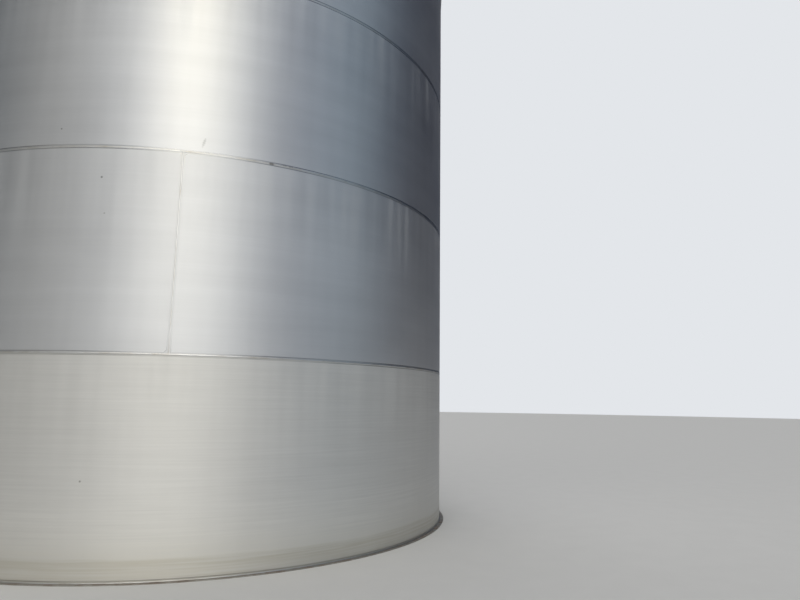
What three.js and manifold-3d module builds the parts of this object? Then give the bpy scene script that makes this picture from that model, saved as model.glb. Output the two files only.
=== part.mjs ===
// Vertical storage tank: welded stainless plate, four courses high, flat bottom, low cone roof.
// Units are millimetres, +Z is up, and the origin is the middle of the underside of the bottom plate.
// A place round the tank is an angle in degrees from the -Y side, growing towards +X.
import * as THREE from "three";
import { mergeVertices } from "three/addons/utils/BufferGeometryUtils.js";
import Module from "manifold-3d";

const wasm = await Module();
wasm.setup();

// Driving dimensions
const SHELL_RADIUS = 3276; // outside face, 21 ft 6 in across
const SHELL_THICKNESS = 5;
const COURSE_HEIGHT = 1829; // 6 ft plate
const COURSE_COUNT = 4;
const PLATE_LETTERS = ["a", "b", "c"]; // plates of one course
const FIRST_WELD = -4.4; // place of an upright weld of the second course
const BOTTOM_THICKNESS = 6;
const CHIME_WIDTH = 50; // bottom plate beyond the shell
const ROOF_THICKNESS = 5;
const ROOF_SLOPE = 1 / 6;
const ROOF_GORES = 6;
const ROOF_EYE_RADIUS = 150; // open middle of the gores, under the crown plate
const CURB_LEG = 65;
const CURB_THICKNESS = 6;
const FACET = 5; // degrees of arc in one flat of the tank's round forms
const FIT = 0.3; // clearance between pieces that touch
const PAST = 50; // how far a cutting solid runs past what it cuts
const BITE = 2; // how far joined solids sink into each other

// Fittings and their places
const MANWAY = {
  angle: 148.1,
  height: 760,
  radius: 305,
  wall: 8,
  reach: 190,
  inside: 40,
  flangeRadius: 382,
  flangeThickness: 20,
  coverThickness: 20,
  sides: 36,
  doublerRadius: 560,
  doublerThickness: 5,
};
const COVER_EYE = { thickness: 12, stand: 46, low: 312, high: 362 };
const DAVIT = {
  socketRadius: 32,
  socketLength: 120,
  socketStand: 34,
  webHeight: 80,
  webThickness: 16,
  armRadius: 17,
  bend: 150,
  headroom: 90,
  hookStand: 23,
  hookRadius: 9,
};
const OUTLET = {
  angle: 173.1,
  height: 260,
  radius: 57,
  wall: 6,
  reach: 180,
  inside: 40,
  flangeRadius: 114.5,
  flangeThickness: 24,
  coverThickness: 24,
  sides: 24,
};
const DRAIN = {
  angle: 188.1,
  height: 120,
  radius: 30,
  reach: 70,
  inside: 20,
  sides: 16,
  collarRadius: 38,
  collarLength: 45,
  headWidth: 32,
  headLength: 24,
};
const GROUNDING_LUG = { angle: 113.1, low: 150, high: 200, stand: 70, thickness: 8 };
const VENT = {
  neckRadius: 109.5,
  wall: 5,
  neckFacet: 10,
  below: 90,
  rise: 260,
  crownRadius: 320,
  capRadius: 215,
  sheet: 4,
  airGap: 45,
  peak: 60,
  skirt: 100,
  legWidth: 6,
};
const ROOF_MANWAY = {
  angle: 283.1,
  distance: 2500,
  radius: 305,
  wall: 6,
  rise: 190,
  below: 90,
  flangeRadius: 360,
  flangeThickness: 12,
  coverThickness: 12,
  sides: 36,
};
const GAUGE_HATCH = {
  angle: 243.1,
  distance: 2750,
  radius: 109.5,
  wall: 5,
  rise: 160,
  below: 60,
  flangeRadius: 140,
  flangeThickness: 10,
  sides: 24,
  rim: 10,
  crown: 34,
  lever: { width: 28, near: 90, far: 190, depth: 14 },
};
const LIFTING_LUG = {
  angles: [178.1, 358.1],
  inset: 60,
  width: 180,
  rise: 150,
  thickness: 16,
  cornerAcross: 40,
  cornerDown: 70,
  holeRadius: 27,
  holeDown: 62,
};
const LADDER = {
  angle: 263.1,
  standOff: 200, // shell flat to the ladder's middle plane
  halfWidth: 209, // to the stringers' inner faces
  barThickness: 12,
  barDepth: 65,
  rungPitch: 305,
  rungRadius: 11,
  lengths: 2,
  rungsPerLength: 12,
  rungsPerBracket: 6,
  extension: 1070, // stringers above the shell, as handholds
  spliceThickness: 10,
  spliceInset: 10,
  spliceReach: 90,
};
const BRACKET = { height: 60, arm: 10, tieStand: 60, padHeight: 120, padReach: 50, padThickness: 8 };
const RAIL = {
  radius: SHELL_RADIUS - 45,
  tube: 21,
  post: 24,
  postAngles: [6, 16, 26],
  top: 1010,
  middle: 535,
  returnNear: 90,
  returnFar: 30,
  toeLow: 30,
  toeHeight: 100,
  toeThickness: 6,
  toeFacet: 2,
};

// Heights and distances worked out from them
const rad = THREE.MathUtils.degToRad;
const SHELL_TOP = BOTTOM_THICKNESS + COURSE_COUNT * COURSE_HEIGHT;
const FLAT = SHELL_RADIUS * Math.cos(rad(FACET / 2)); // from the axis to the middle of a flat
const ROOF_EDGE = SHELL_RADIUS + CURB_THICKNESS; // flush with the curb angle: nothing overhangs the shell
const ROOF_LOW = SHELL_TOP + CURB_THICKNESS + 2 * FIT;
const LADDER_PLANE = -FLAT - LADDER.standOff;
const LADDER_SIDE = LADDER.halfWidth + LADDER.barThickness;

// Height of the roof's upper face at a distance from the axis.
const roofTop = (distance) => ROOF_LOW + ROOF_THICKNESS + (ROOF_EDGE - distance) * ROOF_SLOPE;

// Finishes
const steel = (color, roughness) => new THREE.MeshStandardMaterial({ color, roughness, metalness: 1 });
const FINISH = {
  shell: steel(0xc9cac6, 0.34),
  roof: steel(0xbfc1bf, 0.4),
  fittings: steel(0xb9bbba, 0.32),
  ladder: steel(0xa9adad, 0.45),
};

// Turns a closed three.js geometry into a solid, with its shared corners merged.
function solidOf(geometry) {
  const bare = geometry.index ? geometry.toNonIndexed() : geometry.clone();
  for (const name of Object.keys(bare.attributes)) {
    if (name !== "position") bare.deleteAttribute(name);
  }
  const merged = mergeVertices(bare, 1e-3);
  const corners = merged.index.array;
  const triangles = [];
  for (let i = 0; i < corners.length; i += 3) {
    const [a, b, c] = corners.slice(i, i + 3);
    if (a !== b && b !== c && c !== a) triangles.push(a, b, c);
  }
  const vertProperties = new Float32Array(merged.attributes.position.array);
  const triVerts = new Uint32Array(triangles);
  return new wasm.Manifold(new wasm.Mesh({ numProp: 3, vertProperties, triVerts }));
}

// Turns a solid back into a three.js geometry.
function geometryOf(solid) {
  const mesh = solid.getMesh();
  const geometry = new THREE.BufferGeometry();
  geometry.setAttribute("position", new THREE.BufferAttribute(new Float32Array(mesh.vertProperties), 3));
  geometry.setIndex(new THREE.BufferAttribute(new Uint32Array(mesh.triVerts), 1));
  return geometry;
}

const joined = (...geometries) => geometryOf(geometries.map(solidOf).reduce((a, b) => a.add(b)));
const cut = (geometry, ...tools) =>
  geometryOf(tools.map(solidOf).reduce((a, b) => a.subtract(b), solidOf(geometry)));
const common = (a, b) => geometryOf(solidOf(a).intersect(solidOf(b)));

// A box between two opposite corners, given in any order.
function boxBetween(p, q) {
  const [low, high] = [Math.min, Math.max].map((pick) => p.map((value, i) => pick(value, q[i])));
  const size = high.map((value, i) => value - low[i]);
  const middle = high.map((value, i) => (value + low[i]) / 2);
  return new THREE.BoxGeometry(...size).translate(...middle);
}

// A straight round bar from one point to another.
function rod(radius, from, to, sides = 12) {
  const a = new THREE.Vector3(...from);
  const b = new THREE.Vector3(...to);
  const along = b.clone().sub(a);
  const bar = new THREE.CylinderGeometry(radius, radius, along.length(), sides);
  bar.rotateY(Math.PI / sides);
  bar.applyQuaternion(new THREE.Quaternion().setFromUnitVectors(new THREE.Vector3(0, 1, 0), along.normalize()));
  const middle = a.add(b).multiplyScalar(0.5);
  return bar.translate(...middle.toArray());
}

// A bent round bar along a smooth curve through the points.
function bentRod(radius, points, sides, steps) {
  const path = new THREE.CatmullRomCurve3(points.map((p) => new THREE.Vector3(...p)), false, "centripetal");
  const corners = Array.from({ length: sides }, (_, i) => {
    const turn = (2 * Math.PI * i) / sides;
    return new THREE.Vector2(radius * Math.cos(turn), radius * Math.sin(turn));
  });
  return new THREE.ExtrudeGeometry(new THREE.Shape(corners), { steps, extrudePath: path });
}

// A profile of [radius, height] points, counter-clockwise, turned full circle about the Z axis. It closes on
// itself, or starts and ends on the axis. Its corners lie on the given angle and every facet after it.
function fullRing(profile, from = FIRST_WELD, facet = FACET) {
  const points = profile.map(([r, z]) => new THREE.Vector2(r, z));
  const startsOnAxis = profile[0][0] === 0;
  if (!startsOnAxis) points.push(points[0]);
  const ring = new THREE.LatheGeometry(points, Math.round(360 / facet), rad(from), 2 * Math.PI);
  return ring.rotateX(Math.PI / 2);
}

// The part of such a ring between two angles, less a hair at each end that keeps it clear of the next one.
function ringPart(profile, from, sweep, facet = FACET) {
  const radii = profile.map(([r]) => r);
  const heights = profile.map(([, z]) => z);
  const low = Math.min(...heights) - PAST;
  const depth = Math.max(...heights) + PAST - low;
  const hair = FIT / 2 / Math.max(...radii);
  const far = 3 * Math.max(...radii);
  const wedge = [0, 0.5, 1].map((share) => {
    const angle = rad(from) + hair + share * (rad(sweep) - 2 * hair);
    return new THREE.Vector2(far * Math.sin(angle), -far * Math.cos(angle));
  });
  const sector = new THREE.Shape([new THREE.Vector2(0, 0), ...wedge]);
  const slab = new THREE.ExtrudeGeometry(sector, { depth, bevelEnabled: false }).translate(0, 0, low);
  return common(fullRing(profile, from, facet), slab);
}

// The closed profile of a band between two radii and two heights.
const band = (inner, outer, low, high) => [
  [inner, low],
  [outer, low],
  [outer, high],
  [inner, high],
];

const tank = new THREE.Group();
tank.name = "vertical_storage_tank";

function addMesh(parent, name, geometry, material) {
  geometry.computeVertexNormals();
  const mesh = new THREE.Mesh(geometry, material);
  mesh.name = name;
  parent.add(mesh);
}

// A group turned to a place on the tank and lifted to a height. In it, a fitting faces -Y.
function stationAt(angle, height = 0) {
  const station = new THREE.Group();
  station.rotation.z = rad(angle);
  station.position.z = height;
  tank.add(station);
  return station;
}

// Cutting solids in a station's frame, where a flat of the shell is square to -Y
const localRing = (profile) => fullRing(profile, -FACET / 2);
const SHELL_CUTTER = localRing([
  [0, -PAST],
  [SHELL_RADIUS + FIT, -PAST],
  [SHELL_RADIUS + FIT, SHELL_TOP],
  [0, SHELL_TOP],
]);
const ROOF_CUTTER = localRing([
  [0, SHELL_TOP - 2 * PAST],
  [ROOF_EDGE, SHELL_TOP - 2 * PAST],
  [ROOF_EDGE, roofTop(ROOF_EDGE) + FIT],
  [0, roofTop(0) + FIT],
]);

// The hole that a neck passes through in the shell, in the tank's frame.
function shellHole({ angle, height, radius, sides }) {
  const hole = rod(radius + FIT, [0, -SHELL_RADIUS - PAST, height], [0, -SHELL_RADIUS + PAST, height], sides);
  return hole.rotateZ(rad(angle));
}

// The hole that a neck passes through in the roof, in the tank's frame.
function roofHole({ angle, distance, radius, sides }) {
  const hole = rod(radius + FIT, [0, -distance, SHELL_TOP - PAST], [0, -distance, roofTop(0) + PAST], sides);
  return hole.rotateZ(rad(angle));
}

// Bottom plate, whose rim stands out round the shell
function addBottomPlate() {
  const edge = SHELL_RADIUS + CHIME_WIDTH;
  addMesh(tank, "bottom_plate", fullRing(band(0, edge, 0, BOTTOM_THICKNESS)), FINISH.shell);
}

// Shell: rolled plates in courses, whose upright welds are staggered by two thirds of a plate
function addShell() {
  const sweep = 360 / PLATE_LETTERS.length;
  const stagger = (2 * sweep) / 3;
  const holes = [MANWAY, OUTLET, DRAIN].map(shellHole);
  for (let course = 1; course <= COURSE_COUNT; course++) {
    const low = BOTTOM_THICKNESS + (course - 1) * COURSE_HEIGHT;
    const wall = band(SHELL_RADIUS - SHELL_THICKNESS, SHELL_RADIUS, low, low + COURSE_HEIGHT);
    const firstWeld = FIRST_WELD + (course % 2 ? stagger : 0);
    PLATE_LETTERS.forEach((letter, i) => {
      const rolled = ringPart(wall, firstWeld + i * sweep, sweep);
      const pierced = course === 1 ? cut(rolled, ...holes) : rolled;
      addMesh(tank, `shell_course_${course}_plate_${letter}`, pierced, FINISH.shell);
    });
  }
}

// Curb angle round the top of the shell: one leg down its outside, the other inward over its edge
function addCurbAngle() {
  const inner = SHELL_RADIUS + FIT;
  const outer = inner + CURB_THICKNESS;
  const seat = SHELL_TOP + FIT;
  const section = [
    [inner, SHELL_TOP - CURB_LEG],
    [outer, SHELL_TOP - CURB_LEG],
    [outer, seat + CURB_THICKNESS],
    [outer - CURB_LEG, seat + CURB_THICKNESS],
    [outer - CURB_LEG, seat],
    [inner, seat],
  ];
  addMesh(tank, "curb_angle", fullRing(section), FINISH.fittings);
}

// Cone roof: gores that rest on the curb angle
function addRoof() {
  const sweep = 360 / ROOF_GORES;
  const section = [
    [ROOF_EDGE, ROOF_LOW],
    [ROOF_EDGE, roofTop(ROOF_EDGE)],
    [ROOF_EYE_RADIUS, roofTop(ROOF_EYE_RADIUS)],
    [ROOF_EYE_RADIUS, roofTop(ROOF_EYE_RADIUS) - ROOF_THICKNESS],
  ];
  const holes = [ROOF_MANWAY, GAUGE_HATCH].map(roofHole);
  for (let i = 0; i < ROOF_GORES; i++) {
    const gore = cut(ringPart(section, FIRST_WELD + i * sweep, sweep), ...holes);
    addMesh(tank, `roof_gore_${i + 1}`, gore, FINISH.roof);
  }
}

// Vent in the middle of the roof: crown plate, neck and weather cap
function addVent() {
  const { neckRadius, wall, crownRadius } = VENT;
  const neckTop = roofTop(0) + VENT.rise;
  const eye = neckRadius + FIT;
  const crown = [
    [eye, roofTop(eye) + FIT],
    [crownRadius, roofTop(crownRadius) + FIT],
    [crownRadius, roofTop(crownRadius) + FIT + ROOF_THICKNESS],
    [eye, roofTop(eye) + FIT + ROOF_THICKNESS],
  ];
  const neck = band(neckRadius - wall, neckRadius, roofTop(0) - VENT.below, neckTop);
  addMesh(tank, "roof_crown_plate", fullRing(crown), FINISH.roof);
  addMesh(tank, "vent_neck", fullRing(neck, FIRST_WELD, VENT.neckFacet), FINISH.fittings);
  addMesh(tank, "vent_cap", ventCap(neckTop), FINISH.fittings);
}

// Weather cap: a shallow cone with a skirt, on three flat legs that seat on the neck's rim.
function ventCap(neckTop) {
  const { capRadius, sheet, legWidth } = VENT;
  const eave = neckTop + VENT.airGap;
  const peak = eave + VENT.peak;
  const section = [
    [0, peak],
    [capRadius - sheet, eave],
    [capRadius - sheet, eave - VENT.skirt],
    [capRadius, eave - VENT.skirt],
    [capRadius, eave + sheet],
    [0, peak + sheet],
  ];
  const legs = [0, 120, 240].map((angle) => {
    const outer = [-legWidth / 2, -capRadius + BITE, neckTop + FIT];
    const inner = [legWidth / 2, -VENT.neckRadius + 2 * legWidth, eave + 2 * BITE];
    return boxBetween(outer, inner).rotateZ(rad(angle));
  });
  return joined(fullRing(section, 0, VENT.neckFacet), ...legs);
}

// A flanged neck that stands along -Y from the shell, at the station's height.
function shellNeck({ radius, wall, reach, inside, flangeRadius, flangeThickness, sides }) {
  const face = -FLAT - reach;
  const end = -FLAT + inside;
  const pipe = rod(radius, [0, face, 0], [0, end, 0], sides);
  const flange = rod(flangeRadius, [0, face, 0], [0, face + flangeThickness, 0], MANWAY.sides);
  const bore = rod(radius - wall, [0, face - PAST, 0], [0, end + PAST, 0], sides);
  return cut(joined(pipe, flange), bore);
}

// The flat cover that lies against such a neck's flange.
function shellCover({ reach, flangeRadius, coverThickness }) {
  const back = -FLAT - reach - FIT;
  return rod(flangeRadius, [0, back - coverThickness, 0], [0, back, 0], MANWAY.sides);
}

// Shell manway: doubler plate, flanged neck, cover with a lifting eye, and davit
function addManway() {
  const station = stationAt(MANWAY.angle, MANWAY.height);
  addMesh(station, "manway_doubler", manwayDoubler(), FINISH.fittings);
  addMesh(station, "manway_neck", shellNeck(MANWAY), FINISH.fittings);
  addMesh(station, "manway_cover", manwayCover(), FINISH.fittings);
  addMesh(station, "manway_davit", manwayDavit(), FINISH.fittings);
}

function manwayDoubler() {
  const { doublerRadius, doublerThickness, radius, sides } = MANWAY;
  const inner = SHELL_RADIUS + FIT;
  const half = doublerRadius + PAST;
  const ring = localRing(band(inner, inner + doublerThickness, -half, half));
  const through = (r, count) => rod(r, [0, -SHELL_RADIUS - PAST, 0], [0, -SHELL_RADIUS + 3 * PAST, 0], count);
  return cut(common(ring, through(doublerRadius, 48)), through(radius + FIT, sides));
}

function manwayCover() {
  const face = -FLAT - MANWAY.reach - FIT - MANWAY.coverThickness;
  const { thickness, stand, low, high } = COVER_EYE;
  const eye = boxBetween([-thickness / 2, face - stand, low], [thickness / 2, face + BITE, high]);
  return joined(shellCover(MANWAY), eye);
}

// Davit: a socket beside the flange, and a bar that rises from it and turns over to the cover's eye.
function manwayDavit() {
  const edge = MANWAY.flangeRadius;
  const side = edge + DAVIT.socketStand;
  const top = edge + DAVIT.headroom;
  const back = -FLAT - MANWAY.reach + MANWAY.flangeThickness / 2;
  const front = -FLAT - MANWAY.reach - FIT - MANWAY.coverThickness - DAVIT.hookStand;
  const { armRadius, bend, webThickness, webHeight, socketRadius, socketLength } = DAVIT;
  const socket = rod(socketRadius, [side, back, -socketLength / 2], [side, back, socketLength / 2]);
  const web = boxBetween(
    [edge + FIT, back - webThickness / 2, -webHeight / 2],
    [side, back + webThickness / 2, webHeight / 2],
  );
  const bends = [
    [side, back, webHeight / 2],
    [side, back, top - bend],
    [side - bend / 4, back - BITE, top - bend / 4],
    [side - bend, back - 4 * BITE, top],
    [0, front, top],
  ];
  const hook = rod(DAVIT.hookRadius, [0, front, COVER_EYE.high + FIT], [0, front, top], 8);
  return joined(socket, web, bentRod(armRadius, bends, 8, 24), hook);
}

// Outlet: a flanged neck closed by a blind flange
function addOutlet() {
  const station = stationAt(OUTLET.angle, OUTLET.height);
  addMesh(station, "outlet_neck", shellNeck(OUTLET), FINISH.fittings);
  addMesh(station, "outlet_blind_flange", shellCover(OUTLET), FINISH.fittings);
}

// Drain: a coupling with a square-headed plug in its end
function addDrain() {
  const { radius, inside, sides, collarRadius, collarLength, headWidth, headLength } = DRAIN;
  const face = -FLAT - DRAIN.reach;
  const half = headWidth / 2;
  const barrel = rod(radius, [0, face, 0], [0, -FLAT + inside, 0], sides);
  const collar = rod(collarRadius, [0, face, 0], [0, face + collarLength, 0], sides);
  const head = boxBetween([-half, face - headLength, -half], [half, face + BITE, half]);
  const station = stationAt(DRAIN.angle, DRAIN.height);
  addMesh(station, "drain_plug", joined(barrel, collar, head), FINISH.fittings);
}

// Grounding lug: an upright tab near the base
function addGroundingLug() {
  const { angle, low, high, stand, thickness } = GROUNDING_LUG;
  const tab = boxBetween([-thickness / 2, -FLAT - stand, low], [thickness / 2, -FLAT - FIT, high]);
  addMesh(stationAt(angle), "grounding_lug", tab, FINISH.fittings);
}

// A flanged neck that stands upright through the roof.
function roofNeck({ distance, radius, wall, rise, below, flangeRadius, flangeThickness, sides }) {
  const top = roofTop(distance) + rise;
  const low = roofTop(distance) - below;
  const at = (z) => [0, -distance, z];
  const pipe = rod(radius, at(low), at(top), sides);
  const flange = rod(flangeRadius, at(top - flangeThickness), at(top), ROOF_MANWAY.sides);
  const bore = rod(radius - wall, at(low - PAST), at(top + PAST), sides);
  return cut(joined(pipe, flange), bore);
}

// Roof manway: a flanged neck and its flat cover
function addRoofManway() {
  const { angle, distance, rise, flangeRadius, coverThickness, sides } = ROOF_MANWAY;
  const low = roofTop(distance) + rise + FIT;
  const cover = rod(flangeRadius, [0, -distance, low], [0, -distance, low + coverThickness], sides);
  const station = stationAt(angle);
  addMesh(station, "roof_manway_neck", roofNeck(ROOF_MANWAY), FINISH.fittings);
  addMesh(station, "roof_manway_cover", cover, FINISH.fittings);
}

// Gauge hatch: a short neck with a weighted lid and its lever
function addGaugeHatch() {
  const { angle, distance, rise, flangeRadius, rim, crown, lever } = GAUGE_HATCH;
  const low = roofTop(distance) + rise + FIT;
  const edge = low + rim;
  const section = [
    [0, low],
    [flangeRadius, low],
    [flangeRadius, edge],
    [0.8 * flangeRadius, edge + crown / 4],
    [0.5 * flangeRadius, edge + (3 * crown) / 4],
    [0, edge + crown],
  ];
  const dome = fullRing(section, 0, VENT.neckFacet).translate(0, -distance, 0);
  const bar = boxBetween(
    [-lever.width / 2, -distance - lever.far, edge - 2 * BITE],
    [lever.width / 2, -distance - lever.near, edge - 2 * BITE + lever.depth],
  );
  const station = stationAt(angle);
  addMesh(station, "gauge_hatch_neck", roofNeck(GAUGE_HATCH), FINISH.fittings);
  addMesh(station, "gauge_hatch_lid", joined(dome, bar), FINISH.fittings);
}

// Lifting lugs: upright plates on the roof near its edge, each with a shackle hole
function addLiftingLugs() {
  const { inset, width, rise, thickness, cornerAcross, cornerDown, holeRadius, holeDown } = LIFTING_LUG;
  const outer = inset - SHELL_RADIUS;
  const inner = outer + width;
  const top = roofTop(-outer) + rise;
  const foot = SHELL_TOP - PAST / 2;
  const outline = [
    [outer, foot],
    [inner, foot],
    [inner, top - cornerDown],
    [inner - cornerAcross, top],
    [outer + cornerAcross, top],
    [outer, top - cornerDown],
  ];
  const blank = new THREE.Shape(outline.map(([y, z]) => new THREE.Vector2(y, z)));
  const plate = new THREE.ExtrudeGeometry(blank, { depth: thickness, bevelEnabled: false });
  plate.rotateX(Math.PI / 2).rotateZ(Math.PI / 2).translate(-thickness / 2, 0, 0);
  const middle = (inner + outer) / 2;
  const hole = rod(holeRadius, [-PAST, middle, top - holeDown], [PAST, middle, top - holeDown], 16);
  LIFTING_LUG.angles.forEach((angle, i) => {
    addMesh(stationAt(angle), `lifting_lug_${i + 1}`, cut(plate, hole, ROOF_CUTTER), FINISH.fittings);
  });
}

// Height of a rung, counted down from the one level with the shell's top.
const rungHeight = (i) => SHELL_TOP - i * LADDER.rungPitch;

// Ladder in two spliced lengths on stand-off brackets, one bracket a course
function addLadder() {
  const station = stationAt(LADDER.angle);
  for (let i = 1; i <= LADDER.lengths; i++) {
    addMesh(station, `ladder_length_${i}`, ladderLength(i), FINISH.ladder);
  }
  for (let i = 1; i <= COURSE_COUNT; i++) {
    const rung = (COURSE_COUNT - i + 0.5) * LADDER.rungsPerBracket;
    const bracket = ladderBracket(rungHeight(rung - 0.5));
    addMesh(station, `ladder_bracket_${i}`, bracket, FINISH.ladder);
  }
}

function ladderLength(index) {
  const lowestRung = (LADDER.lengths - index + 1) * LADDER.rungsPerLength - 1;
  const low = rungHeight(lowestRung + 0.5);
  const isTop = index === LADDER.lengths;
  const joint = low + LADDER.rungsPerLength * LADDER.rungPitch;
  const high = isTop ? SHELL_TOP + LADDER.extension : joint - FIT;
  const back = LADDER_PLANE + LADDER.barDepth / 2;
  const front = LADDER_PLANE - LADDER.barDepth / 2;
  const pieces = [];
  for (const side of [-1, 1]) {
    pieces.push(boxBetween([side * LADDER.halfWidth, front, low], [side * LADDER_SIDE, back, high]));
    if (!isTop) pieces.push(...splice(side, front, back, high));
  }
  for (let i = 0; i < LADDER.rungsPerLength; i++) {
    const z = rungHeight(lowestRung - i);
    const reach = LADDER.halfWidth + LADDER.barThickness / 2;
    pieces.push(rod(LADDER.rungRadius, [-reach, LADDER_PLANE, z], [reach, LADDER_PLANE, z], 8));
  }
  return joined(...pieces);
}

// Splice: a flat bar inside the stringers that passes their joint, and the weld that holds it below it.
function splice(side, front, back, joint) {
  const { halfWidth, spliceThickness, spliceInset, spliceReach } = LADDER;
  const seat = side * (halfWidth - FIT);
  const face = side * (halfWidth - spliceThickness);
  const bar = boxBetween(
    [seat, front + spliceInset, joint - spliceReach],
    [face, back - spliceInset, joint + spliceReach],
  );
  const weld = boxBetween(
    [side * halfWidth, front + spliceInset + BITE, joint - spliceReach + 5 * BITE],
    [face, back - spliceInset - BITE, joint - spliceReach / 3],
  );
  return [bar, weld];
}

// Bracket: two arms outside the stringers, a tie behind the rungs and a pad on the shell for each arm.
function ladderBracket(height) {
  const { arm, tieStand, padHeight, padReach, padThickness } = BRACKET;
  const half = BRACKET.height / 2;
  const near = LADDER_SIDE + FIT;
  const front = LADDER_PLANE - LADDER.barDepth / 2;
  const sunk = -FLAT + PAST / 2;
  const tie = boxBetween(
    [-near - arm, -FLAT - tieStand, height - half],
    [near + arm, -FLAT - tieStand + arm, height + half],
  );
  const sides = [-1, 1].flatMap((side) => [
    boxBetween([side * near, front, height - half], [side * (near + arm), sunk, height + half]),
    boxBetween(
      [side * (near - padReach), -FLAT - padThickness, height - padHeight / 2],
      [side * (near + arm + padReach), sunk, height + padHeight / 2],
    ),
  ]);
  return cut(joined(tie, ...sides), SHELL_CUTTER);
}

// Guardrails on the roof edge, one each side of the ladder, which return to its stringers
function addGuardrails() {
  const station = stationAt(LADDER.angle);
  addMesh(station, "guardrail_left", guardrail(-1), FINISH.ladder);
  addMesh(station, "guardrail_right", guardrail(1), FINISH.ladder);
}

function guardrail(side) {
  const first = RAIL.postAngles[0];
  const last = RAIL.postAngles[RAIL.postAngles.length - 1];
  const top = SHELL_TOP + RAIL.top;
  const at = (angle, z) => {
    const turn = rad(side * angle);
    return [RAIL.radius * Math.sin(turn), -RAIL.radius * Math.cos(turn), z];
  };
  const level = (z) => {
    const arc = [0, 0.25, 0.5, 0.75, 1].map((share) => at(first + (last - first) * share, z));
    const beside = side * (LADDER_SIDE + FIT + RAIL.tube);
    const end = [beside, LADDER_PLANE - RAIL.returnFar, z];
    const bend = [beside, LADDER_PLANE + RAIL.returnNear, z];
    return [
      bentRod(RAIL.tube, arc, 8, 8),
      rod(RAIL.tube, end, bend, 8),
      rod(RAIL.tube, bend, arc[0], 8),
    ];
  };
  const posts = RAIL.postAngles.map((angle) => rod(RAIL.post, at(angle, SHELL_TOP - PAST), at(angle, top), 8));
  const toeLow = SHELL_TOP + RAIL.toeLow;
  const half = RAIL.toeThickness / 2;
  const toeBand = band(RAIL.radius - half, RAIL.radius + half, toeLow, toeLow + RAIL.toeHeight);
  const toe = ringPart(toeBand, side > 0 ? first : -last, last - first, RAIL.toeFacet);
  const frame = joined(...posts, ...level(top), ...level(SHELL_TOP + RAIL.middle), toe);
  return cut(frame, ROOF_CUTTER);
}

addBottomPlate();
addShell();
addCurbAngle();
addRoof();
addVent();
addManway();
addOutlet();
addDrain();
addGroundingLug();
addRoofManway();
addGaugeHatch();
addLiftingLugs();
addLadder();
addGuardrails();

export default tank;
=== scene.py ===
"""Dresses the vertical storage tank: rolled plate and welds, cone roof, fittings, ladder and studio.

Lengths are in metres and +Z is up. A place round the tank is an angle in degrees from the -Y side,
growing towards +X, as in the CAD model.
"""

import logging
import math
from dataclasses import dataclass
from enum import Enum
from functools import partial
from typing import Callable, ClassVar, Sequence

import bmesh
import bpy
import numpy as np
from mathutils import Matrix, Vector


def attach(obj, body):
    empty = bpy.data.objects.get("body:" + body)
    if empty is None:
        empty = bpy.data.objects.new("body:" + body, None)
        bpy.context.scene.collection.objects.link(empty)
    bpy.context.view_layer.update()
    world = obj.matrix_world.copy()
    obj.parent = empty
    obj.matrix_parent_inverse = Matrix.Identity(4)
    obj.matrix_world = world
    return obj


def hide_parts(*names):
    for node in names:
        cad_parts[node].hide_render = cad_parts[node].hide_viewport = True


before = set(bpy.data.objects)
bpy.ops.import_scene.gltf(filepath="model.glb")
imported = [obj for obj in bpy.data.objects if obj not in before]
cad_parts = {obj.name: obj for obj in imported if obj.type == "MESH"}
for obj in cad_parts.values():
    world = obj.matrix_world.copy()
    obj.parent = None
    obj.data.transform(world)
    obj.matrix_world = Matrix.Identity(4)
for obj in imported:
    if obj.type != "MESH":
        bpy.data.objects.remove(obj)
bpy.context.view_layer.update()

log = logging.getLogger("storage_tank")

Profile = Sequence[tuple[float, float]]
Mesh = bpy.types.Mesh
Material = bpy.types.Material
Socket = bpy.types.NodeSocket

BODY = "root"
SURFACE_MAP = "surface_metres"  # UV map in metres, U along the grain
SEAM_GAP = "seam_gap"  # distance in metres to the nearest weld of a plate
MILL = "mill"  # a plate's own tone, dust film and pattern seed
BEAD_RUN = "bead_run"  # metres along a weld bead
OUTWARD = "outward"  # which way a weld bead faces

FIT = 0.0003  # the gap between pieces that touch
SHELL_RADIUS = 3.276
SHELL_FLAT = SHELL_RADIUS * math.cos(math.radians(2.5))  # where the CAD fittings measure from
SHELL_THICKNESS = 0.005
BOTTOM_THICKNESS = 0.006
COURSE_HEIGHT = 1.829
COURSE_COUNT = 4
FIRST_WELD = -4.4  # place of the upright weld in the second course
SHELL_TOP = BOTTOM_THICKNESS + COURSE_COUNT * COURSE_HEIGHT
CURB_THICKNESS = 0.006
ROOF_EDGE = SHELL_RADIUS + CURB_THICKNESS
ROOF_LOW = SHELL_TOP + CURB_THICKNESS + 2 * FIT
ROOF_EYE = 0.15
ROOF_THICKNESS = 0.005
ROOF_SLOPE = 1 / 6
LADDER_ANGLE = 263.1
LADDER_PLANE = SHELL_FLAT + 0.2

LEVEL = Vector((1, 0, 0))  # the grain of stock that lies level
ACROSS = Matrix.Rotation(math.pi / 2, 4, "Y")  # turns Z to X
UPWARD = Matrix.Rotation(-math.pi / 2, 4, "X")  # turns Z to Y
ON_EDGE = Matrix(((0, 0, 1, 0), (1, 0, 0, 0), (0, 1, 0, 0), (0, 0, 0, 1)))  # turns Z to X and X to Y
SIDEWAYS = Matrix(((0, 0, 1, 0), (0, 1, 0, 0), (1, 0, 0, 0), (0, 0, 0, 1)))  # swaps X and Z


class Slot(Enum):
    """The record's material slots."""

    SHELL = "shell_plate"
    ROOF = "roof_plate"
    FITTING = "fitting_steel"
    LADDER = "ladder_steel"


class Grain(Enum):
    """What the pattern of a steel finish follows."""

    SURFACE = "surface"
    PLACE = "place"


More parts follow.
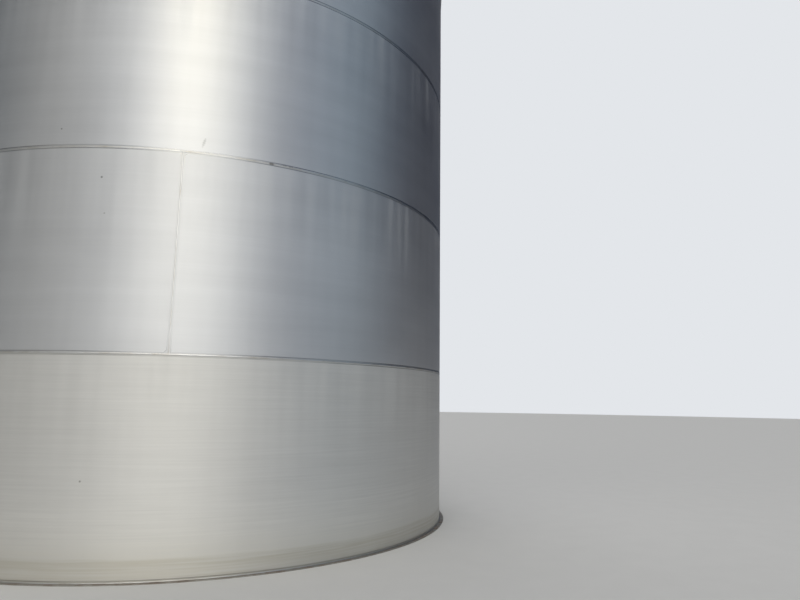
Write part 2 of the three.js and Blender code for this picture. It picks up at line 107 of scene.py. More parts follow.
def linear(hex_colour: str) -> tuple[float, float, float, float]:
    """Turns an sRGB hex colour into linear light.

    Args:
        hex_colour: six digits after a hash.

    Returns:
        Red, green, blue and full alpha.
    """
    shares = [int(hex_colour[i : i + 2], 16) / 255 for i in (1, 3, 5)]
    red, green, blue = (s / 12.92 if s <= 0.04045 else ((s + 0.055) / 1.055) ** 2.4 for s in shares)
    return red, green, blue, 1.0


def add_node(
    tree: bpy.types.NodeTree, kind: str, inputs: dict | Sequence = (), out: str = "", **settings: object
) -> Socket | None:
    """Adds one node with its settings, values and links.

    Args:
        tree: the tree that gets the node.
        kind: the node's type name, without ShaderNode, GeometryNode or Node in front.
        inputs: what its live inputs get, by name or in order: a value, a socket, or a list of sockets.
        out: the output to return, if not the first live one.
        settings: the node's own properties.

    Returns:
        The node's output, if it has one.
    """
    names = (f"{family}Node{kind}" for family in ("Shader", "Geometry", ""))
    node = tree.nodes.new(next(name for name in names if hasattr(bpy.types, name)))
    for name, value in settings.items():
        setattr(node, name, value)
    live = [socket for socket in node.inputs if socket.enabled]
    named = {socket.name: socket for socket in live}
    given = inputs if isinstance(inputs, dict) else dict(enumerate(inputs))
    for key, value in given.items():
        socket = named[key] if isinstance(key, str) else live[key]
        for source in value if isinstance(value, list) else [value]:
            if isinstance(source, Socket):
                tree.links.new(source, socket)
            else:
                socket.default_value = source
    return node.outputs[out] if out else next((s for s in node.outputs if s.enabled), None)


def polar(angle: float, radius: float, height: float = 0.0) -> Vector:
    """The point at an angle round the tank, a distance from its axis and a height."""
    turn = math.radians(angle)
    return Vector((radius * math.sin(turn), -radius * math.cos(turn), height))


def roof_top(distance: float) -> float:
    """Height of the roof's upper face at a distance from the tank's axis."""
    return ROOF_LOW + ROOF_THICKNESS + (ROOF_EDGE - distance) * ROOF_SLOPE


def turned(angle: float) -> Matrix:
    """A turn about the tank's axis, in degrees."""
    return Matrix.Rotation(math.radians(angle), 4, "Z")


def moved(x: float = 0.0, y: float = 0.0, z: float = 0.0) -> Matrix:
    """A frame moved by the given lengths."""
    return Matrix.Translation((x, y, z))


def facing_out(angle: float, height: float = 0.0) -> Matrix:
    """The frame of a shell fitting: X along the shell, Y up and Z straight out from the tank's axis."""
    return turned(angle) @ moved(z=height) @ Matrix.Rotation(math.pi / 2, 4, "X")


def standing_up(angle: float, distance: float = 0.0) -> Matrix:
    """The frame of a roof fitting, a distance from the tank's axis: Y points at the axis and Z up."""
    return turned(angle) @ moved(y=-distance)


def around(sides: int, radius: float, first: float = 0.0) -> list[tuple[float, float]]:
    """Points spread evenly round a circle, the first one a share of a step past its X axis."""
    turns = (math.tau * (i + first) / sides for i in range(sides))
    return [(radius * math.cos(t), radius * math.sin(t)) for t in turns]


def ring(inner: float, outer: float, low: float, high: float) -> list[tuple[float, float]]:
    """The profile of a ring, or of a disc where the inner radius is 0."""
    return [(inner, low), (outer, low), (outer, high), (inner, high)]


def flanged(
    inner: float, outer: float, flange: float, foot: float, back: float, face: float, hub: tuple = ()
) -> list[tuple[float, float]]:
    """The profile of a neck with a flange at its head.

    Args:
        inner: the bore's radius.
        outer: the neck's radius.
        flange: the flange's radius.
        foot: height of the neck's foot.
        back: height of the flange's back.
        face: height of its face.
        hub: width and height of the weld fillet behind the flange, if it has one.

    Returns:
        The profile.
    """
    wide, tall = hub or (0, 0)
    fillet = [(outer, back - tall), (outer + wide, back)] if hub else [(outer, back)]
    return [(inner, foot), (outer, foot), *fillet, (flange, back), (flange, face), (inner, face)]


def softened(profile: Profile, radius: float, steps: int = 2, closed: bool = True) -> list[tuple]:
    """Rounds the corners of a profile.

    Args:
        profile: its corners.
        radius: how far from a corner the rounding starts.
        steps: straight pieces in each rounding.
        closed: whether the last corner joins the first.

    Returns:
        The rounded profile.
    """
    corners = [Vector(corner) for corner in profile]
    result = []
    for i, here in enumerate(corners):
        if not closed and i in (0, len(corners) - 1):
            result.append(tuple(here))
            continue
        back, on = corners[i - 1] - here, corners[(i + 1) % len(corners)] - here
        reach = min(radius, back.length * 0.45, on.length * 0.45)
        start, end = here + back.normalized() * reach, here + on.normalized() * reach
        for t in (step / steps for step in range(steps + 1)):
            result.append(tuple(start * (1 - t) ** 2 + here * (2 * t * (1 - t)) + end * t * t))
    return result


def inward(outline: Profile, inset: float) -> list[tuple[float, float]]:
    """Moves the sides of an outline inwards.

    Args:
        outline: its corners, counter-clockwise.
        inset: how far its sides move.

    Returns:
        The smaller outline.
    """
    result = []
    for i, corner in enumerate(outline):
        here = Vector(corner)
        before = (here - Vector(outline[i - 1])).normalized()
        after = (Vector(outline[(i + 1) % len(outline)]) - here).normalized()
        left, right = Vector((-before.y, before.x)), Vector((-after.y, after.x))
        middle = (left + right).normalized()
        result.append(tuple(here + middle * inset / max(0.2, middle.dot(left))))
    return result


def put_in_scene(name: str, data: bpy.types.ID) -> bpy.types.Object:
    """Puts a mesh, lamp or camera in the scene.

    Args:
        name: the name of its object.
        data: the mesh, lamp or camera.

    Returns:
        The object that holds it.
    """
    made = bpy.data.objects.new(name, data)
    bpy.context.scene.collection.objects.link(made)
    return made


def made_real(holder: bpy.types.Object, *others: bpy.types.Object) -> Mesh:
    """Turns what an object's modifiers make into a plain mesh.

    Args:
        holder: the object.
        others: the objects that its modifiers use. All of them are dropped with their own meshes.

    Returns:
        The plain mesh.
    """
    depsgraph = bpy.context.evaluated_depsgraph_get()
    result = bpy.data.meshes.new_from_object(
        holder.evaluated_get(depsgraph), preserve_all_data_layers=True, depsgraph=depsgraph
    )
    for used in (holder, *others):
        mesh = used.data
        bpy.data.objects.remove(used)
        bpy.data.meshes.remove(mesh)
    return result


def cut_away(mesh: Mesh, tool: Mesh) -> Mesh:
    """Cuts one closed mesh out of another, and drops both.

    Args:
        mesh: the mesh that is cut.
        tool: the mesh that cuts it.

    Returns:
        What is left of the first.
    """
    work, cutter = put_in_scene("work", mesh), put_in_scene("cutter", tool)
    modifier = work.modifiers.new("cut", "BOOLEAN")
    modifier.operation = "DIFFERENCE"
    modifier.object = cutter
    return made_real(work, cutter)


class Blank:
    """A piece in the making, to which turned, boxed and bent forms are added."""

    def __init__(self, grain: Vector = Vector((0, 0, 1))) -> None:
        """Starts an empty piece.

        Args:
            grain: the direction in which its stock was rolled or brushed.
        """
        self.grain = grain
        self.form = bmesh.new()
        self.map = self.form.loops.layers.uv.new(SURFACE_MAP)
        self.mapped = self.form.faces.layers.int.new("mapped")

    def turn(
        self, profile: Profile, place: Matrix = Matrix(), soft: float = 0.0, sides: int = 96
    ) -> "Blank":
        """Adds a form turned about the place's Z axis.

        Args:
            profile: radius and height of its corners. It joins its own start, or else it starts and
                ends on the axis.
            place: its frame.
            soft: how far from a corner its rounding starts, or 0 for none.
            sides: flats round the form.

        Returns:
            The blank itself.
        """
        closed = profile[0][0] > 0
        corners = softened(profile, soft, closed=closed) if soft else profile
        rings = []
        for radius, height in corners:
            spots = around(sides if radius > 1e-6 else 1, radius)
            rings.append([self.form.verts.new(place @ Vector((*spot, height))) for spot in spots])
        wide = max(radius for radius, _ in corners)
        run = 0.0
        for i in range(len(rings) if closed else len(rings) - 1):
            after = (i + 1) % len(rings)
            end = run + math.dist(corners[i], corners[after])
            for j in range(sides):
                found = {}
                for level, far, along in ((i, 0, run), (i, 1, run), (after, 1, end), (after, 0, end)):
                    vert = rings[level][(j + far) % len(rings[level])]
                    found.setdefault(vert, (math.tau * (j + far) / sides * wide, along))
                if len(found) < 3:
                    continue
                face = self.form.faces.new(found)
                face[self.mapped] = 1
                for loop, at in zip(face.loops, found.values()):
                    loop[self.map].uv = at
            run = end
        return self

    def block(
        self, one: Sequence, other: Sequence, place: Matrix = Matrix(), bevel: float = 0.001
    ) -> "Blank":
        """Adds a box with softened edges.

        Args:
            one: one of its corners in the place.
            other: the corner opposite.
            place: its frame.
            bevel: how much its edges are softened.

        Returns:
            The blank itself.
        """
        low, high = (Vector(tuple(map(pick, one, other))) for pick in (min, max))
        where = place @ Matrix.Translation((low + high) / 2) @ Matrix.Diagonal((*(high - low), 1))
        made = bmesh.ops.create_cube(self.form, size=1, matrix=where)
        edges = list(dict.fromkeys(edge for vert in made["verts"] for edge in vert.link_edges))
        bmesh.ops.bevel(self.form, geom=edges, offset=bevel, segments=2, profile=0.5, affect="EDGES")
        return self

    def loft(self, rings: Sequence[Sequence[Vector]], capped: bool = False) -> "Blank":
        """Joins rings of points into a closed form.

        Args:
            rings: the rings, with as many points in each.
            capped: whether the first and last ring are filled in, or else joined to each other.

        Returns:
            The blank itself.
        """
        verts = [[self.form.verts.new(point) for point in points] for points in rings]
        if capped:
            self.form.faces.new(verts[0][::-1])
            self.form.faces.new(verts[-1])
        for low, high in zip(verts, verts[1:] if capped else verts[1:] + verts[:1]):
            for j in range(len(low)):
                self.form.faces.new((low[j - 1], low[j], high[j], high[j - 1]))
        return self

    def plate(
        self, outline: Profile, low: float, high: float, place: Matrix, bevel: float = 0.001
    ) -> "Blank":
        """Adds a flat plate with softened edges.

        Args:
            outline: its corners in the place's X and Y, counter-clockwise.
            low: its lower face in the place's Z.
            high: its upper face.
            place: its frame.
            bevel: how much its edges are softened.

        Returns:
            The blank itself.
        """
        levels = ((low, bevel), (low + bevel, 0), (high - bevel, 0), (high, bevel))
        rims = [[place @ Vector((*p, z)) for p in inward(outline, inset)] for z, inset in levels]
        return self.loft(rims, capped=True)

    def absorb(self, mesh: Mesh, place: Matrix = Matrix()) -> "Blank":
        """Adds a finished mesh, and drops the mesh.

        Args:
            mesh: the mesh.
            place: the frame that it is moved into.

        Returns:
            The blank itself.
        """
        mesh.transform(place)
        self.form.from_mesh(mesh)
        bpy.data.meshes.remove(mesh)
        return self

    def map_flat_faces(self) -> None:
        """Gives every face without a place on the surface map one, with U along the grain."""
        for face in self.form.faces:
            if face[self.mapped]:
                continue
            along = self.grain - face.normal * self.grain.dot(face.normal)
            if along.length < 0.3:
                along = face.normal.orthogonal()
            along.normalize()
            across = face.normal.cross(along)
            for loop in face.loops:
                loop[self.map].uv = (loop.vert.co.dot(along), loop.vert.co.dot(across))

    def mesh(self, name: str) -> Mesh:
        """Closes the piece.

        Args:
            name: the name of its mesh.

        Returns:
            The mesh, with every face outward.
        """
        bmesh.ops.recalc_face_normals(self.form, faces=self.form.faces)
        self.form.normal_update()
        self.map_flat_faces()
        self.form.faces.layers.int.remove(self.mapped)
        result = bpy.data.meshes.new(name)
        self.form.to_mesh(result)
        self.form.free()
        return result


@dataclass
class Path:
    """A line that a bead or a bar follows, and which way it faces at each point, if not up."""

    points: Sequence[Sequence[float]]
    outward: Sequence[Sequence[float]] | None = None
    closed: bool = False


def traced(place: Matrix, points: Sequence[Sequence[float]], closed: bool = False) -> Path:
    """A path through points of a frame."""
    return Path([place @ Vector(point) for point in points], closed=closed)


def round_path(
    place: Matrix, radius: float, height: Callable[[float, float], float], sides: int
) -> Path:
    """A round path about the place's Z axis, at the height that X and Y give."""
    return traced(place, [(x, y, height(x, y)) for x, y in around(sides, radius)], closed=True)


def circle(radius: float, height: float, sides: int = 120) -> Path:
    """A level round path about the tank's axis."""
    return round_path(Matrix(), radius, lambda x, y: height, sides)


def on_shell(place: Matrix, radius: float, stand: float = 0.0, sides: int = 120) -> Path:
    """A round path about a shell fitting's axis that follows the curve a stand outside the shell."""
    reach = SHELL_RADIUS + stand
    return round_path(place, radius, lambda x, y: math.sqrt(reach**2 - x * x), sides)


def on_roof(angle: float, distance: float, radius: float, sides: int = 96) -> Path:
    """A round path about a roof fitting's upright axis that follows the cone."""
    place = standing_up(angle, distance)
    return round_path(place, radius, lambda x, y: roof_top(math.hypot(x, y - distance)), sides)


def path_mesh(paths: Sequence[Path]) -> Mesh:
    """Turns paths into a mesh of edges that knows which way each point faces.

    Args:
        paths: the paths.

    Returns:
        The mesh.
    """
    points, edges, outward = [], [], []
    for path in paths:
        first, count = len(points), len(path.points)
        points += [tuple(point) for point in path.points]
        edges += [(first + i, first + (i + 1) % count) for i in range(count if path.closed else count - 1)]
        outward += [(0, 0, 1)] * count if path.outward is None else list(path.outward)
    mesh = bpy.data.meshes.new("path")
    mesh.from_pydata(points, edges, [])
    facing = mesh.attributes.new(OUTWARD, "FLOAT_VECTOR", "POINT")
    facing.data.foreach_set("vector", np.array(outward, np.float32).ravel())
    return mesh


def read_points(mesh: Mesh, start: float) -> tuple[np.ndarray, np.ndarray, np.ndarray]:
    """Reads where a mesh's points are.

    Args:
        mesh: the mesh.
        start: a place round the tank.

    Returns:
        The points, their distances from the tank's axis and their angles past the start in degrees.
    """
    points = np.array([vertex.co for vertex in mesh.vertices])
    x, y, _ = points.T
    return points, np.hypot(x, y), np.mod(np.degrees(np.arctan2(x, -y)) - start + 180, 360) - 180


class Recipe:
    """A Geometry Nodes tree with named inputs, run on one mesh at a time."""

    def __init__(self, name: str, inputs: dict[str, str]) -> None:
        """Starts a tree.

        Args:
            name: the tree's name.
            inputs: for each input's name, the kind of its socket, such as Float.
        """
        self.tree = bpy.data.node_groups.new(name, "GeometryNodeTree")
        add_socket = self.tree.interface.new_socket
        add_socket("Geometry", in_out="OUTPUT", socket_type="NodeSocketGeometry")
        for title, kind in {"Geometry": "Geometry", **inputs, "Material": "Material"}.items():
            add_socket(title, in_out="INPUT", socket_type=f"NodeSocket{kind}")
        self.given = self.tree.nodes.new("NodeGroupInput").outputs
        self.add = partial(add_node, self.tree)

    def close(self, geometry: Socket) -> None:
        """Ends the tree with real geometry in the given material.

        Args:
            geometry: the output that holds what was made.
        """
        real = self.add("RealizeInstances", {"Geometry": geometry})
        worn = self.add("SetMaterial", {"Geometry": real, "Material": self.given["Material"]})
        self.add("GroupOutput", {"Geometry": worn})

    def run(self, values: dict[str, object], start: Mesh | None = None, wall: float = 0.0) -> Mesh:
        """Runs the tree.

        Args:
            values: for each input's name, its value.
            start: the mesh that the tree works on.
            wall: the thickness that the surface grows inwards, or 0 for none.

        Returns:
            The plain mesh that comes out.
        """
        holder = put_in_scene("holder", start or bpy.data.meshes.new("start"))
        modifier = holder.modifiers.new("recipe", "NODES")
        modifier.node_group = self.tree
        for item in self.tree.interface.items_tree:
            if item.in_out == "INPUT" and item.name in values:
                modifier[item.identifier] = values[item.name]
        if wall:
            thicken = holder.modifiers.new("wall", "SOLIDIFY")
            thicken.thickness = wall
            thicken.offset = -1
        return made_real(holder)


class WeldBeads(Recipe):
    """Lays weld beads along paths: low ribs of uneven width that follow the seam."""

    unevenness: float = 0.45

    def __init__(self) -> None:
        """Builds the tree."""
        super().__init__("weld_bead", dict.fromkeys(("Width", "Crown", "Step", "Uneven"), "Float"))
        add, given = self.add, self.given
        line = add("MeshToCurve", {"Mesh": given["Geometry"]})
        line = add("ResampleCurve", {"Curve": line, "Length": given["Step"]}, mode="LENGTH")
        facing = add("InputNamedAttribute", {"Name": OUTWARD}, data_type="FLOAT_VECTOR")
        line = add("SetCurveNormal", {"Curve": line, "Normal": facing}, mode="FREE")
        noise = add("TexNoise", {"Vector": add("InputPosition"), "Scale": 14.0, "Detail": 2.0})
        swing = add("Math", (noise, 0.5), operation="SUBTRACT")
        radius = add("Math", (swing, given["Uneven"], 1.0), operation="MULTIPLY_ADD")
        line = add("SetCurveRadius", {"Curve": line, "Radius": radius})
        length = add("SplineParameter", out="Length")
        stored = {"Geometry": line, "Name": BEAD_RUN, "Value": length}
        line = add("StoreNamedAttribute", stored, data_type="FLOAT", domain="POINT")
        wire = add("CurvePrimitiveCircle", {"Resolution": 10, "Radius": 0.5}, mode="RADIUS")
        height = add("Math", (given["Crown"], 2.0), operation="MULTIPLY")
        size = add("CombineXYZ", (height, given["Width"], 1.0))
        section = add("Transform", {"Geometry": wire, "Scale": size})
        self.close(add("CurveToMesh", {"Curve": line, "Profile Curve": section, "Fill Caps": True}))

    def lay(self, paths: Sequence[Path], width: float, crown: float, step: float) -> Mesh:
        """Lays a bead of one width and crown along each path, and returns their mesh."""
        values = {"Width": width, "Crown": crown, "Step": step, "Uneven": self.unevenness}
        return self.run(values, path_mesh(paths))


class BentBars(Recipe):
    """Bends round bar or tube along paths, with a radius at each corner."""

    def __init__(self) -> None:
        """Builds the tree."""
        super().__init__("bent_bar", {"Radius": "Float", "Bend": "Float", "Sides": "Int"})
        add, given = self.add, self.given
        line = add("MeshToCurve", {"Mesh": given["Geometry"]})
        corners = {"Curve": line, "Radius": given["Bend"], "Limit Radius": True, "Count": 7}
        line = add("FilletCurve", corners, mode="POLY")
        section = add("CurvePrimitiveCircle", (given["Sides"], given["Radius"]), mode="RADIUS")
        self.close(add("CurveToMesh", {"Curve": line, "Profile Curve": section, "Fill Caps": True}))

    def bend(self, paths: Sequence[Path], radius: float, corner: float = 0.0, sides: int = 20) -> Mesh:
        """Bends a bar of one radius along each path, and returns its mesh."""
        return self.run({"Radius": radius, "Bend": corner, "Sides": sides}, path_mesh(paths))

    def handles(self, apart: float, half: float, face: float, rise: float, corner: float) -> Mesh:
        """Bends a cover's two bow handles.

        Args:
            apart: how far each handle is from the cover's middle.
            half: half of its length.
            face: height of the cover's face.
            rise: how far it stands off the face.
            corner: radius of its bends.

        Returns:
            Their mesh.
        """
        foot, crest = face - 0.003, face + rise
        bows = [
            Path([(x, -half, foot), (x, -half, crest), (x, half, crest), (x, half, foot)])
            for x in (-apart, apart)
        ]
        return self.bend(bows, 0.008, corner, 14)


class Bolts(Recipe):
    """Sets hexagon bolts with washers and nuts on points, their shanks along Z."""

    # in radii of the shank: the radii of the head, of its chamfered end and of the washer, the heights
    # of the head, of its chamfer and of the washer, and how far the shank is slid through
    shares: tuple = (1.75, 1.5, 1.95, 1.3, 0.22, 0.28, -0.45)

    def __init__(self) -> None:
        """Builds the tree."""
        super().__init__("bolt_set", {"Shank": "Float", "Grip": "Float"})
        add, given = self.add, self.given
        head, neck, wide, tall, chamfer, thin, slide = (
            add("Math", (given["Shank"], share), operation="MULTIPLY") for share in self.shares
        )
        half = add("Math", (given["Grip"], 0.5), operation="MULTIPLY")
        under = add("Math", (thin, 0.5, half), operation="MULTIPLY_ADD")
        seat = add("Math", (half, thin), operation="ADD")
        middle = add("Math", (tall, 0.5, seat), operation="MULTIPLY_ADD")
        crest = add("Math", (seat, tall), operation="ADD")
        length = add("Math", (crest, 2.0, given["Shank"]), operation="MULTIPLY_ADD")
        hexagon, washer, rod = (
            add("MeshCylinder", {"Vertices": sides, "Radius": radius, "Depth": depth})
            for sides, radius, depth in ((6, head, tall), (20, wide, thin), (12, given["Shank"], length))
        )
        cone = {"Vertices": 6, "Radius Top": neck, "Radius Bottom": head, "Depth": chamfer}
        top = add("MeshCone", cone)
        raised = []
        for part, height in ((hexagon, middle), (top, crest), (washer, under), (rod, slide)):
            lift = add("CombineXYZ", {"Z": height})
            raised.append(add("Transform", {"Geometry": part, "Translation": lift}))
        end = add("JoinGeometry", {"Geometry": raised[:3]})
        other = add("Transform", {"Geometry": end, "Rotation": (math.pi, 0.0, 0.5)})
        bolt = add("JoinGeometry", {"Geometry": [end, other, raised[3]]})
        turn = add("Math", (add("InputIndex"), 0.37), operation="MULTIPLY")
        way = add("CombineXYZ", {"Z": turn})
        self.close(
            add("InstanceOnPoints", {"Points": given["Geometry"], "Instance": bolt, "Rotation": way})
        )

    def set(self, points: Sequence[Sequence[float]], shank: float, grip: float) -> Mesh:
        """Sets a bolt on each point.

        Args:
            points: the middles of the bolts.
            shank: radius of a bolt's shank.
            grip: the thickness that it clamps.

        Returns:
            Their mesh.
        """
        start = bpy.data.meshes.new("points")
        start.from_pydata(points, [], [])
        return self.run({"Shank": shank, "Grip": grip}, start)

    def ring(self, count: int, radius: float, shank: float, grip: float) -> Mesh:
        """Sets bolts round a circle, and returns their mesh."""
        return self.set([(x, y, 0.0) for x, y in around(count, radius, 0.5)], shank, grip)


class Rows(Recipe):
    """Repeats one form in a straight row, such as the rungs of a ladder."""

    def __init__(self) -> None:
        """Builds the tree."""
        super().__init__("row", {"Count": "Int", "Pitch": "Vector"})
        add, given = self.add, self.given
        steps = {"Count": given["Count"], "Offset": given["Pitch"]}
        line = add("MeshLine", steps, mode="OFFSET", count_mode="TOTAL")
        self.close(add("InstanceOnPoints", {"Points": line, "Instance": given["Geometry"]}))

    def repeat(self, form: Mesh, count: int, pitch: tuple[float, float, float]) -> Mesh:
        """Repeats a form at a pitch, and returns the whole row's mesh."""
        return self.run({"Count": count, "Pitch": pitch}, form)


@dataclass(frozen=True)
class Forming:
    """How plates are formed."""

    grid: tuple[int, int]  # points along a plate and up it
    wall: float
    wave: tuple[float, float] = (0.0, 1.0)  # height and closeness of its waves
    pulls: tuple[float, float, float] = (0.0, 0.0, 0.01)  # at the edges, at the sides, and their reach


class FormedPlates(Recipe):
    """Forms a plate between two circles about the tank's axis: a cylinder's course or a cone's gore.

    Its surface waves a little, and is drawn in by the welds along its edges.
    """

    sizes: tuple = (
        "Foot Radius", "Foot Height", "Head Radius", "Head Height", "Start", "Sweep",
        "Wave", "Wave Closeness", "Edge Pull", "Side Pull", "Pull Reach",
    )

    def __init__(self) -> None:
        """Builds the tree."""
        others = {"Columns": "Int", "Rows": "Int", "Mill": "Vector"}
        super().__init__("formed_plate", {**dict.fromkeys(self.sizes, "Float"), **others})
        add, given = self.add, self.given
        plate = add("MeshGrid", (1.0, 1.0, given["Columns"], given["Rows"]))
        at = add("SeparateXYZ", (add("InputPosition"),)).node.outputs
        across, share = (add("Math", (at[axis], 0.5), operation="ADD") for axis in "XY")
        ends = [(given[f"Foot {size}"], given[f"Head {size}"]) for size in ("Radius", "Height")]
        radius, height = (
            add("MapRange", {"Value": share, "To Min": foot, "To Max": head}) for foot, head in ends
        )
        reach, rise = (add("Math", (head, foot), operation="SUBTRACT") for foot, head in ends)
        turn = add("Math", (across, given["Sweep"], given["Start"]), operation="MULTIPLY_ADD")
        sine, cosine = (add("Math", (turn,), operation=name) for name in ("SINE", "COSINE"))
        spoke = add("CombineXYZ", (sine, add("Math", (cosine, -1.0), operation="MULTIPLY")))
        flat = add("VectorMath", (spoke, radius), operation="SCALE")
        place = add("VectorMath", (flat, add("CombineXYZ", {"Z": height})), operation="ADD")
        leaning = add("VectorMath", (spoke, rise), operation="SCALE")
        normal = add("VectorMath", (leaning, add("CombineXYZ", {"Z": reach})), operation="SUBTRACT")
        normal = add("VectorMath", (normal,), operation="NORMALIZE")
        arc = add("Math", (radius, given["Sweep"]), operation="MULTIPLY")
        slant = add("VectorMath", (add("CombineXYZ", (reach, rise)),), operation="LENGTH")
        spot, gaps = [], []
        for part, whole in ((across, arc), (share, slant)):
            run = add("Math", (part, whole), operation="MULTIPLY")
            rest = add("Math", (whole, run), operation="SUBTRACT")
            spot.append(run)
            gaps.append(add("Math", (run, rest), operation="MINIMUM"))
        noise = add("TexNoise", {"Vector": place, "Scale": given["Wave Closeness"], "Detail": 2.0})
        swing = add("Math", (noise, 0.5), operation="SUBTRACT")
        push = add("Math", (swing, given["Wave"]), operation="MULTIPLY")
        for gap, pull in zip(gaps, ("Side Pull", "Edge Pull")):
            fade = (gap, 0.0, given["Pull Reach"], 1.0, 0.0)
            near = add("MapRange", fade, interpolation_type="SMOOTHERSTEP")
            drawn = add("Math", (near, given[pull]), operation="MULTIPLY")
            push = add("Math", (push, drawn), operation="SUBTRACT")
        shift = add("VectorMath", (normal, push), operation="SCALE")
        for name, kind, domain, value in (
            (SEAM_GAP, "FLOAT", "POINT", add("Math", gaps, operation="MINIMUM")),
            (MILL, "FLOAT_VECTOR", "POINT", given["Mill"]),
            (SURFACE_MAP, "FLOAT2", "CORNER", add("CombineXYZ", spot)),
        ):
            stored = {"Geometry": plate, "Name": name, "Value": value}
            plate = add("StoreNamedAttribute", stored, data_type=kind, domain=domain)
        there = add("VectorMath", (place, shift), operation="ADD")
        self.close(add("SetPosition", {"Geometry": plate, "Position": there}))

    def form(
        self, foot: tuple[float, float], head: tuple[float, float], start: float, sweep: float,
        mill: tuple[float, float, float], forming: Forming,
    ) -> Mesh:
        """Forms one plate.

        Args:
            foot: radius and height of its lower edge.
            head: radius and height of its upper edge.
            start: place of its first side round the tank.
            sweep: degrees from there to its other side.
            mill: its tone, dust film and pattern seed.
            forming: how it is formed.

        Returns:
            Its mesh.
        """
        turns = (math.radians(start), math.radians(sweep))
        values = dict(zip(self.sizes, (*foot, *head, *turns, *forming.wave, *forming.pulls)))
        values.update(zip(("Columns", "Rows"), forming.grid), Mill=mill)
        return self.run(values, wall=forming.wall)


@dataclass(frozen=True)
class Finish:
    """A finish, made as a node material."""

    name: str

    def sockets(self, add: Callable) -> dict[str, object]:
        """Adds the finish's nodes.

        Args:
            add: adds a node to the material.

        Returns:
            What the sockets of its surface shader get.
        """
        raise NotImplementedError

    def material(self) -> Material:
        """Builds the node material.

        Returns:
            The material.
        """
        material = bpy.data.materials.new(self.name)
        material.use_nodes = True
        material.node_tree.nodes.clear()
        add = partial(add_node, material.node_tree)
        add("OutputMaterial", {"Surface": add("BsdfPrincipled", self.sockets(add))})
        return material


# place, height, size and darkness of the knocks and rust spots on the shell
KNOCKS = (
    (-23.3, 3.829, 0.012, 0.55),
    (-16.2, 3.379, 0.014, 0.65),
    (-15.3, 3.051, 0.010, 0.40),
    (-1.20, 3.803, 0.012, 0.22),
    (-1.29, 3.785, 0.017, 0.30),
    (-1.39, 3.765, 0.019, 0.30),
    (-1.48, 3.745, 0.016, 0.26),
    (-1.58, 3.726, 0.011, 0.20),
    (9.30, 3.664, 0.024, 0.60),
    (9.55, 3.663, 0.024, 0.60),
    (11.5, 3.674, 0.017, 0.35),
    (11.8, 3.674, 0.015, 0.35),
    (12.6, 3.674, 0.018, 0.40),
    (13.0, 3.673, 0.016, 0.35),
    (-15.2, 0.790, 0.012, 0.55),
)


def knocked(add: Callable, place: Socket) -> Socket:
    """Adds the knocks and rust spots to a material.

    Args:
        add: adds a node to the material.
        place: the point on the surface.

    Returns:
        How dark the surface is at that point, from 0 to 1.
    """
    total = 0.0
    for angle, height, size, darkness in KNOCKS:
        middle = tuple(polar(angle, SHELL_RADIUS, height))
        away = add("VectorMath", (place, middle), operation="DISTANCE")
        mark = add("MapRange", (away, size / 4, size, darkness, 0.0), interpolation_type="SMOOTHSTEP")
        total = add("Math", (total, mark), operation="MAXIMUM")
    return total


